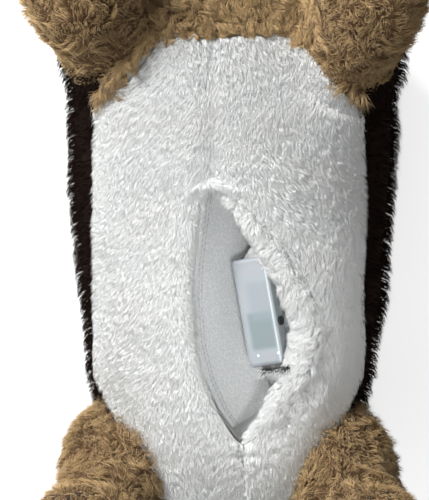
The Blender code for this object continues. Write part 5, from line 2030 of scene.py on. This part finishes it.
@dataclass
class Leg(Assembly):
    """A stuffed leg with its fluffy tan pile."""
    form: LegForm
    sides: int = 60
    rows: int = 70
    coat: Coat = Coat(
        20000, 0.0124, 0.00027, 0.92, spread=0.24, tuft=0.0058, gather=0.30, curl=0.34, bends=1, swirl=0.40,
        swirl_size=0.040, lock_turn=0.30, lock_length=0.14,
    )

    def build(self) -> None:
        """Builds the leg's backing and pile."""
        form = self.form
        stations = np.array(LEG_STATIONS)
        height = np.linspace(stations[0, 1], stations[-1, 1], self.rows)
        radius = smooth_through(stations[:, 1], stations[:, 0], height)
        forward = smooth_through(stations[:, 1], stations[:, 2], height)
        angles = 2 * pi * np.arange(self.sides) / self.sides
        grooves = toe_grooves(angles[None, :], height[:, None])
        size = radius[:, None] - grooves
        rows = np.stack([
            size * np.cos(angles), forward[:, None] + size * np.sin(angles), height[:, None] + 0.0 * size,
        ], axis=-1)
        local = capped(rows, np.array([0.0, 0.0, stations[0, 1] - 0.004]), np.array([0.0, 0.012, 0.1005]))
        matrix = placed(Vector(form.pivot), Vector(form.aim), Vector((0.0, 1.0, 0.0)))
        body = turned_out(matrix, local, Waves(0.030, form.seed), 0.0007)
        self.stuffed(f"{form.body}_backing", body, "tan_backing", form.body, Slot.TAN_PILE, form.body, 0.8)
        away = tuple(matrix.to_3x3() @ Vector((0.0, 0.0, 1.0)))
        inverse = matrix.inverted()

        def short_at_toes(points: Array) -> Array:
            """The pile is shorter on the paw than on the leg."""
            rise = moved(inverse, points)[:, 2]
            shares = (form.root_length, form.root_length, 1.0, 1.0, 0.66, 0.50)
            return np.interp(rise, (0.0, 0.014, 0.034, 0.060, 0.085, 0.100), shares)

        def clear(points: Array) -> Array:
            """Keeps the pile out of the torso."""
            return moved(inverse, points)[:, 2] > -0.020

        self.pile(f"{form.body}_pile", body, replace(self.coat, seed=form.seed), "tan_pile", form.body,
                  Slot.TAN_PILE, fixed_way(away), scale=short_at_toes, keep=clear)


def smooth_through(places: Array, values: Array, at: Array) -> Array:
    """Values along a soft curve through given ones.

    Args:
        places: Where values are given.
        values: The values.
        at: Where values are wanted.

    Returns:
        The wanted values.
    """
    slopes = np.gradient(values, places)
    index = np.clip(np.searchsorted(places, at) - 1, 0, len(places) - 2)
    width = places[index + 1] - places[index]
    t = (at - places[index]) / width
    first = (2 * t**3 - 3 * t**2 + 1) * values[index] + (t**3 - 2 * t**2 + t) * width * slopes[index]
    second = (3 * t**2 - 2 * t**3) * values[index + 1] + (t**3 - t**2) * width * slopes[index + 1]
    return first + second


def toe_grooves(angle: Array, height: Array) -> Array:
    """Depth of the two grooves between the toes at the front of a paw.

    Args:
        angle: Angles round the leg.
        height: Heights along it.

    Returns:
        Depths in metres.
    """
    near = np.clip((height - 0.076) / 0.014, 0.0, 1.0)
    total = 0.0
    for place in (radians(68), radians(112)):
        total = total + np.exp(-(((angle - place) / radians(8)) ** 2))
    return 0.0018 * near * total


@dataclass
class HeadAndNeck(Assembly):
    """Neck, head, muzzle and ears with their short tan pile."""
    neck_coat: Coat = Coat(6000, 0.0095, 0.00027, 0.85, tuft=0.006, gather=0.5, curl=0.35, bends=1, seed=141)
    head_coat: Coat = Coat(26000, 0.0070, 0.00024, 0.95, tuft=0.0045, gather=0.45, bends=0, seed=151)
    muzzle_coat: Coat = Coat(5200, 0.0034, 0.00020, 0.95, tuft=0.003, gather=0.3, bends=0, seed=161)
    ear_coat: Coat = Coat(8000, 0.0048, 0.00022, 1.05, tuft=0.004, gather=0.4, bends=0, seed=171)
    inner_coat: Coat = Coat(3800, 0.0028, 0.00018, 1.00, tuft=0.003, gather=0.3, bends=0, seed=181)
    head_center: tuple[float, float, float] = (0.0, 0.230, 0.0565)
    head_halves: tuple[float, float, float] = (0.058, 0.051, 0.053)
    muzzle_place: tuple[float, float, float] = (0.0, -0.015, 0.048)
    muzzle_halves: tuple[float, float, float] = (0.0215, 0.0165, 0.026)
    eye_x: float = 0.027
    eye_y: float = 0.008
    eye_clearance: float = 0.0098
    nose_clearance: float = 0.0078
    nose_tip: Place = (0.0, -0.012, 0.080)
    mouth_half_width: float = 0.0012
    crown: Place = (0.0, 0.766, -0.643)
    face: Place = (0.0, 0.643, 0.766)
    neck_root: Place = (0.0, 0.140, 0.064)
    neck_aim: Place = (0.0, 0.050, -0.004)
    neck_rings: int = 26
    neck_ends: tuple[float, float] = (-0.026, 0.078)
    neck_shown: tuple[float, float] = (0.135, 0.200)
    neck_stations: tuple[tuple[float, float], ...] = (
        (-0.022, 0.026), (-0.010, 0.034), (0.010, 0.0345), (0.026, 0.0300), (0.042, 0.0300),
        (0.060, 0.030), (0.072, 0.020),
    )
    ear_aim: tuple[float, float] = (0.86, 0.50)
    ear_sizes: tuple[float, float, float] = (0.082, 0.028, 0.0042)
    ear_rings: int = 46
    ear_stations: tuple[tuple[float, float, float], ...] = (
        (-0.06, 0.30, 1.9), (0.0, 0.36, 1.9), (0.08, 0.38, 1.3), (0.16, 0.46, 1.0), (0.26, 0.78, 1.0),
        (0.40, 1.0, 1.0), (0.56, 0.96, 1.0), (0.72, 0.74, 0.9), (0.85, 0.46, 0.75), (0.95, 0.22, 0.6),
    )
    inner_reach: tuple[float, float] = (0.27, 0.84)
    inner_rows: int = 30
    inner_columns: int = 22
    inner_thickness: float = 0.0012

    def build(self) -> None:
        """Builds the neck and the head."""
        turned = Matrix((Vector((1.0, 0.0, 0.0)), Vector(self.crown), Vector(self.face))).transposed()
        self.frame = Matrix.Translation(self.head_center) @ turned.to_4x4()
        self.inverse = self.frame.inverted()
        self.neck()
        self.head()
        for side, body in ((1, Body.EAR_LEFT), (-1, Body.EAR_RIGHT)):
            self.ear(side, body)

    def neck(self) -> None:
        """Builds the neck."""
        matrix = placed(Vector(self.neck_root), Vector(self.neck_aim), Vector((0.0, 0.0, 1.0)))
        places, sizes = (np.array(values) for values in zip(*self.neck_stations))
        heights = np.linspace(places[0], places[-1], self.neck_rings)
        radii = smooth_through(places, sizes, heights)
        ends = (np.array([0.0, 0.0, z]) for z in self.neck_ends)
        local = capped(rings(radii, radii, heights, 48), *ends)
        body = turned_out(matrix, local, Waves(0.03, 142), 0.0007)
        self.stuffed("neck_backing", body, "tan_backing", Body.NECK, Slot.TAN_PILE, "neck", 0.8)
        low, high = self.neck_shown
        self.pile(
            "neck_pile", body, self.neck_coat, "tan_pile", Body.NECK, Slot.TAN_PILE,
            fixed_way((0.0, -1.0, 0.1)), keep=lambda places: (places[:, 1] > low) & (places[:, 1] < high),
        )

    @staticmethod
    def ellipsoid(middle: Array, halves: Place, power: float, sides: int) -> Surface:
        """A rounded form in the head's own frame, with its middle at X 0.

        Args:
            middle: Its middle.
            halves: Half its sizes.
            power: 2 for round, more for squarer.
            sides: Points in a ring.

        Returns:
            The closed form.
        """
        rises = np.sin(np.linspace(-0.5 * pi, 0.5 * pi, sides // 2 + 1)[1:-1])
        reach = np.array([(1.0 - abs(rise) ** power) ** (1.0 / power) for rise in rises])
        rows = rings(halves[0] * reach, halves[1] * reach, middle[2] + halves[2] * rises, sides, middle[1])
        return capped(rows, *(middle + np.array([0.0, 0.0, s * halves[2]]) for s in (-1, 1)))

    def head(self) -> None:
        """Builds the head and the muzzle."""
        local = self.ellipsoid(np.zeros(3), self.head_halves, 2.0, 72)
        points = local.points.copy()
        for side in (-1, 1):
            eye = np.array([side * self.eye_x, self.eye_y, 0.046])
            near = np.exp(-(((points - eye) ** 2).sum(axis=1) / 0.013**2))
            points -= unit(points) * (near * 0.0008)[:, None]
        body = turned_out(self.frame, Surface(points, local.faces), Waves(0.04, 152), 0.0006)
        self.stuffed("head_backing", body, "tan_backing", Body.HEAD, Slot.TAN_PILE, "head", 0.85)
        self.pile("head_pile", body, self.head_coat, "tan_pile", Body.HEAD, Slot.TAN_PILE, self.head_way,
                  scale=self.head_scale, keep=self.head_keep)
        local = self.ellipsoid(np.array(self.muzzle_place), self.muzzle_halves, 2.2, 48)
        body = turned_out(self.frame, local, Waves(0.02, 162), 0.0004)
        self.stuffed("muzzle_backing", body, "tan_backing", Body.HEAD, Slot.TAN_PILE, "muzzle", 0.85)
        self.pile("muzzle_pile", body, self.muzzle_coat, "tan_pile", Body.HEAD, Slot.TAN_PILE, self.head_way,
                  keep=self.muzzle_keep)

    def head_way(self, points: Array) -> Array:
        """The head's pile lies back from the nose."""
        nose = moved(self.frame, np.array([self.nose_tip]))[0]
        return unit(points - nose)

    def head_scale(self, points: Array) -> Array:
        """The pile is shorter on the face."""
        local = moved(self.inverse, points)
        return np.interp(local[:, 2], (-0.02, 0.02, 0.048), (1.0, 0.75, 0.45))

    def head_keep(self, points: Array) -> Array:
        """Keeps the pile off the eyes and the muzzle's root.

        Args:
            points: N x 3 places in metres.

        Returns:
            One truth value a place.
        """
        local = moved(self.inverse, points)
        kept = np.ones(len(points), bool)
        for side in (-1, 1):
            away = np.hypot(local[:, 0] - side * self.eye_x, local[:, 1] - self.eye_y)
            kept &= (away > self.eye_clearance) | (local[:, 2] < 0.0)
        inside = (local[:, 0] / 0.020) ** 2 + ((local[:, 1] + 0.015) / 0.015) ** 2 < 1.0
        return kept & ~(inside & (local[:, 2] > 0.0))

    def muzzle_keep(self, points: Array) -> Array:
        """Keeps the pile off the nose and the mouth stitching.

        Args:
            points: N x 3 places in metres.

        Returns:
            One truth value a place.
        """
        local = moved(self.inverse, points)
        low, high = (moved(self.inverse, np.array([corner]))[0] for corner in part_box("nose"))
        nose = (low + high) / 2
        away = np.linalg.norm(local - nose, axis=1)
        center_line = (np.abs(local[:, 0]) < self.mouth_half_width) & (local[:, 1] < nose[1])
        center_line &= local[:, 2] > 0.055
        return (away > self.nose_clearance) & ~center_line & (local[:, 2] > 0.030)

    def ear(self, side: int, body_name: Body) -> None:
        """Builds an ear and its inner lining.

        Args:
            side: 1 for the dog's left ear and -1 for the right.
            body_name: The CAD body that it rides on.
        """
        aim = Vector((self.ear_aim[0] * side, self.ear_aim[1], 0.0)).normalized()
        halves = Vector(self.head_halves)
        reach = 1.0 / sum((aim[i] / halves[i]) ** 2 for i in range(3)) ** 0.5
        base = aim * (reach - 0.002)
        matrix = self.frame @ placed(base, aim, Vector((0.0, 0.0, 1.0)))
        length, half_width, half_thickness = self.ear_sizes
        lifts, widths, depths = (np.array(values) for values in zip(*self.ear_stations))
        at = np.linspace(lifts[0], lifts[-1], self.ear_rings)
        wide = smooth_through(lifts, widths, at) * half_width
        deep = smooth_through(lifts, depths, at) * half_thickness
        local = capped(rings(wide, deep, at * length, 40), np.array([0.0, 0.0, lifts[0] * length - 0.001]),
                       np.array([0.0, 0.0, length]))
        form = turned_out(matrix, local, Waves(0.03, 172 + side), 0.0004)
        label = body_name.value
        self.stuffed(f"{label}_backing", form, "tan_backing", body_name, Slot.TAN_PILE, label, 0.7)
        away = tuple(matrix.to_3x3() @ Vector((0.0, 0.0, 1.0)))
        inverse = matrix.inverted()
        inner_shares = (lifts > 0.1) & (lifts < 0.94)

        def off_inner(points: Array) -> Array:
            """Keeps the long pile off the inner lining."""
            place = moved(inverse, points)
            limit = np.interp(place[:, 2] / length, lifts[inner_shares], widths[inner_shares])
            limit = limit * half_width * 0.66
            covered = (place[:, 1] > 0.001) & (np.abs(place[:, 0]) < limit) & (place[:, 2] > 0.18 * length)
            return ~covered & (place[:, 2] > 0.0)

        self.pile(f"{label}_pile", form, replace(self.ear_coat, seed=172 + side), "tan_pile", body_name,
                  Slot.TAN_PILE, fixed_way(away), keep=off_inner)
        inner_at = np.linspace(*self.inner_reach, self.inner_rows)
        inner_wide = smooth_through(lifts, widths, inner_at) * half_width * 0.72
        taper = np.clip(np.minimum(inner_at - 0.25, 0.86 - inner_at) / 0.06, 0.25, 1.0)
        columns = self.inner_columns
        across = np.linspace(-1.0, 1.0, columns)
        x = inner_wide[:, None] * taper[:, None] * across
        y = 0.0050 + 0.0012 * (1.0 - across**2)[None, :] + 0.0 * x
        z = inner_at[:, None] * length + 0.0 * x
        flat = np.stack([x, y, z], axis=-1)
        top = moved(matrix, flat.reshape(-1, 3)).reshape(flat.shape)
        facing = np.array(matrix.to_3x3() @ Vector((0.0, 1.0, 0.0)))
        upright = float(grid(top).normals()[(columns // 2) * columns + 10] @ facing) > 0
        lining = thickened(top, self.inner_thickness, -1.0 if upright else 1.0)
        name = label.replace("ear", "inner_ear")
        made = self.cloth(f"{name}_backing", lining, "ear_backing", body_name, Slot.EAR_LINING, name)
        skin = grid(top) if upright else flipped(grid(top))
        coat = replace(self.inner_coat, seed=182 + side)
        fuzz = self.pile(f"{name}_pile", skin, coat, "ear_pile", body_name, Slot.EAR_LINING, fixed_way(away))
        area = grid(top).area()


@dataclass
class Tail(Assembly):
    """The short curled tail."""
    length: float = 0.105
    curl: float = 0.022
    root: Place = (0.0, -0.163, 0.058)
    aim: Place = (0.0, -0.90, -0.25)
    rows: int = 44
    pile_start_y: float = -0.160
    stations: tuple[tuple[float, float], ...] = (
        (-0.10, 0.011), (0.0, 0.0135), (0.10, 0.0125), (0.25, 0.0098), (0.94, 0.0064), (0.985, 0.0040),
    )
    bends: tuple[tuple[float, float], ...] = (
        (0.25, 0.0), (0.45, 0.10), (0.65, 0.35), (0.82, 0.68), (0.94, 0.92),
    )
    coat: Coat = Coat(6500, 0.0085, 0.00026, 0.95, tuft=0.005, gather=0.5, curl=0.3, bends=1, seed=191)

    def build(self) -> None:
        """Builds the tail's backing and pile."""
        matrix = placed(Vector(self.root), Vector(self.aim), Vector((0.0, 0.0, 1.0)))
        places, radii = zip(*self.stations)
        at = np.linspace(places[0], places[-1], self.rows)
        bend = np.interp(at, *zip(*self.bends)) * self.curl
        radius = np.interp(at, places, radii)
        local = capped(rings(radius, radius, at * self.length, 32, bend), np.array([0.0, 0.0, -0.012]),
                       np.array([0.0, bend[-1] + 0.0005, self.length]))
        body = turned_out(matrix, local, Waves(0.025, 192), 0.0004)
        self.stuffed("tail_backing", body, "tan_backing", Body.TAIL, Slot.TAN_PILE, "tail", 0.75)
        self.pile("tail_pile", body, self.coat, "tan_pile", Body.TAIL, Slot.TAN_PILE,
                  fixed_way(self.aim), keep=lambda places: places[:, 1] < self.pile_start_y)


# Hard parts


FINISHED_NODES = {
    "white_thread": ("centre_seam",),
    "frosted_plastic": ("module_front_case",),
    "milky_plastic": (
        "module_back_case", "battery_door", "eye_washer_left", "eye_washer_right", "nose_washer",
    ),
    "steel": (
        "door_screw", "button_cell_1", "button_cell_2", "button_cell_3", "cell_contact_rear",
        "cell_contact_front",
    ),
    "board_mask": ("circuit_board",),
    "black_plastic": ("speaker", "push_button", "eye_left", "eye_right", "nose"),
    "lamp_plastic": ("indicator_led_right", "indicator_led_left"),
    "brown_thread": (
        "front_toe_stitching_left", "front_toe_stitching_right", "hind_toe_stitching_left",
        "hind_toe_stitching_right", "lip_stitching", "mouth_stitching",
    ),
}


def dress_nodes(wardrobe: Wardrobe) -> None:
    """Gives every CAD node that stays in view its finish.

    Args:
        wardrobe: The materials.
    """
    for finish, names in FINISHED_NODES.items():
        for name in names:
            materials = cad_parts[name].data.materials
            materials.clear()
            materials.append(wardrobe[finish])


# Stage


class LampKind(str, Enum):
    """Kinds of lamp: a square or a narrow cone."""

    SQUARE = "AREA"
    CONE = "SPOT"


@dataclass(frozen=True)
class Lamp:
    """A lamp and the place on the toy that it is aimed at."""

    name: str
    place: Place
    size: float
    power: float
    kind: LampKind = LampKind.SQUARE
    aim: Place = (0.0, 0.0, 0.1)
    cone: float = radians(9.5)

    def build(self) -> None:
        """Puts the lamp in the scene."""
        data = bpy.data.lights.new(self.name, self.kind.value)
        data.energy = self.power
        if self.kind is LampKind.SQUARE:
            data.size = self.size
        else:
            data.shadow_soft_size, data.spot_size, data.spot_blend = self.size, self.cone, 1.0
        made = bpy.data.objects.new(self.name, data)
        made.location = self.place
        made.rotation_euler = (Vector(self.aim) - Vector(self.place)).to_track_quat("-Z", "Y").to_euler()
        bpy.context.scene.collection.objects.link(made)


@dataclass
class Stage:
    """Floor, lights, backdrop colour and camera."""

    camera_x: float = -0.0081
    camera_z: float = 1.330
    lens: float = 154.3
    sensor: float = 36.0
    floor_size: float = 6.0
    world_strength: float = 0.22
    floor_glow: float = 0.70
    floor_tone: float = 0.60
    lamps: tuple[Lamp, ...] = (
        Lamp("key", (-0.70, 0.62, 0.90), 0.42, 26.0),
        Lamp("fill", (-0.10, -0.75, 1.20), 1.0, 5.0),
        Lamp("opening_light", (0.06, -0.20, 1.05), 0.09, 34.0, LampKind.CONE, (-0.020, -0.042, 0.105)),
    )

    def build(self) -> None:
        """Builds the stage."""
        bpy.context.scene.view_settings.view_transform = "Standard"
        self.camera()
        self.floor()
        self.world()
        for lamp in self.lamps:
            lamp.build()

    def camera(self) -> None:
        """The camera looks straight down with the head towards the top."""
        data = bpy.data.cameras.new("camera")
        data.lens, data.sensor_width = self.lens, self.sensor
        data.clip_start, data.clip_end = 0.01, 20.0
        camera = bpy.data.objects.new("camera", data)
        camera.location = (self.camera_x, 0.0, self.camera_z)
        bpy.context.scene.collection.objects.link(camera)
        bpy.context.scene.camera = camera

    def floor(self) -> None:
        """A plain white floor that reads as white to the camera and keeps the shadow."""
        half = self.floor_size / 2
        corners = np.array([[-half, -half, 0.0], [half, -half, 0.0], [half, half, 0.0], [-half, half, 0.0]])
        material = fresh("floor")
        shader = shader_of(material)
        tone = (self.floor_tone, self.floor_tone, self.floor_tone, 1.0)
        set_values(shader, {"Base Color": tone, "Roughness": 0.9, "Emission Color": (1.0, 1.0, 1.0, 1.0)})
        tree = material.node_tree
        path = tree.nodes.new("ShaderNodeLightPath")
        glow = tree.nodes.new("ShaderNodeMath")
        glow.operation = "MULTIPLY"
        glow.inputs[1].default_value = self.floor_glow
        tree.links.new(self.seen_rays(tree, path), glow.inputs[0])
        tree.links.new(glow.outputs[0], shader.inputs["Emission Strength"])
        sunk = corners - np.array([0.0, 0.0, FLOOR_CLEARANCE])
        show("floor", Surface(sunk, [(0, 1, 2, 3)]), material)

    @staticmethod
    def seen_rays(tree: NodeTree, path: Node) -> NodeSocket:
        """One for the rays that show the backdrop: straight, mirrored or through clear plastic.

        Args:
            tree: the node tree that gets the nodes.
            path: its Light Path node.

        Returns:
            The socket with the sum, at most one.
        """
        total = path.outputs["Is Camera Ray"]
        for name in ("Is Glossy Ray", "Is Transmission Ray"):
            add = tree.nodes.new("ShaderNodeMath")
            add.operation, add.use_clamp = "ADD", True
            tree.links.new(total, add.inputs[0])
            tree.links.new(path.outputs[name], add.inputs[1])
            total = add.outputs[0]
        return total

    def world(self) -> None:
        """Soft pale surroundings that the camera sees as white."""
        world = bpy.data.worlds.new("surroundings")
        world.use_nodes = True
        tree = world.node_tree
        light = tree.nodes["Background"]
        white = (1.0, 1.0, 1.0, 1.0)
        set_values(light, {"Color": white, "Strength": self.world_strength})
        seen = tree.nodes.new("ShaderNodeBackground")
        set_values(seen, {"Color": white, "Strength": 1.0})
        path = tree.nodes.new("ShaderNodeLightPath")
        mix = tree.nodes.new("ShaderNodeMixShader")
        tree.links.new(self.seen_rays(tree, path), mix.inputs[0])
        tree.links.new(light.outputs[0], mix.inputs[1])
        tree.links.new(seen.outputs[0], mix.inputs[2])
        tree.links.new(mix.outputs[0], tree.nodes["World Output"].inputs["Surface"])
        bpy.context.scene.world = world


def main() -> None:
    """Builds the stage and every piece of the toy, in order."""
    logging.basicConfig(level=logging.INFO, format="%(name)s: %(message)s")
    Stage().build()
    wardrobe = new_wardrobe()
    dress_nodes(wardrobe)
    Trunk(wardrobe).build()
    Opening(wardrobe).build()
    for form in LEGS:
        Leg(wardrobe, form).build()
    HeadAndNeck(wardrobe).build()
    Tail(wardrobe).build()


if __name__ == "__main__":
    main()
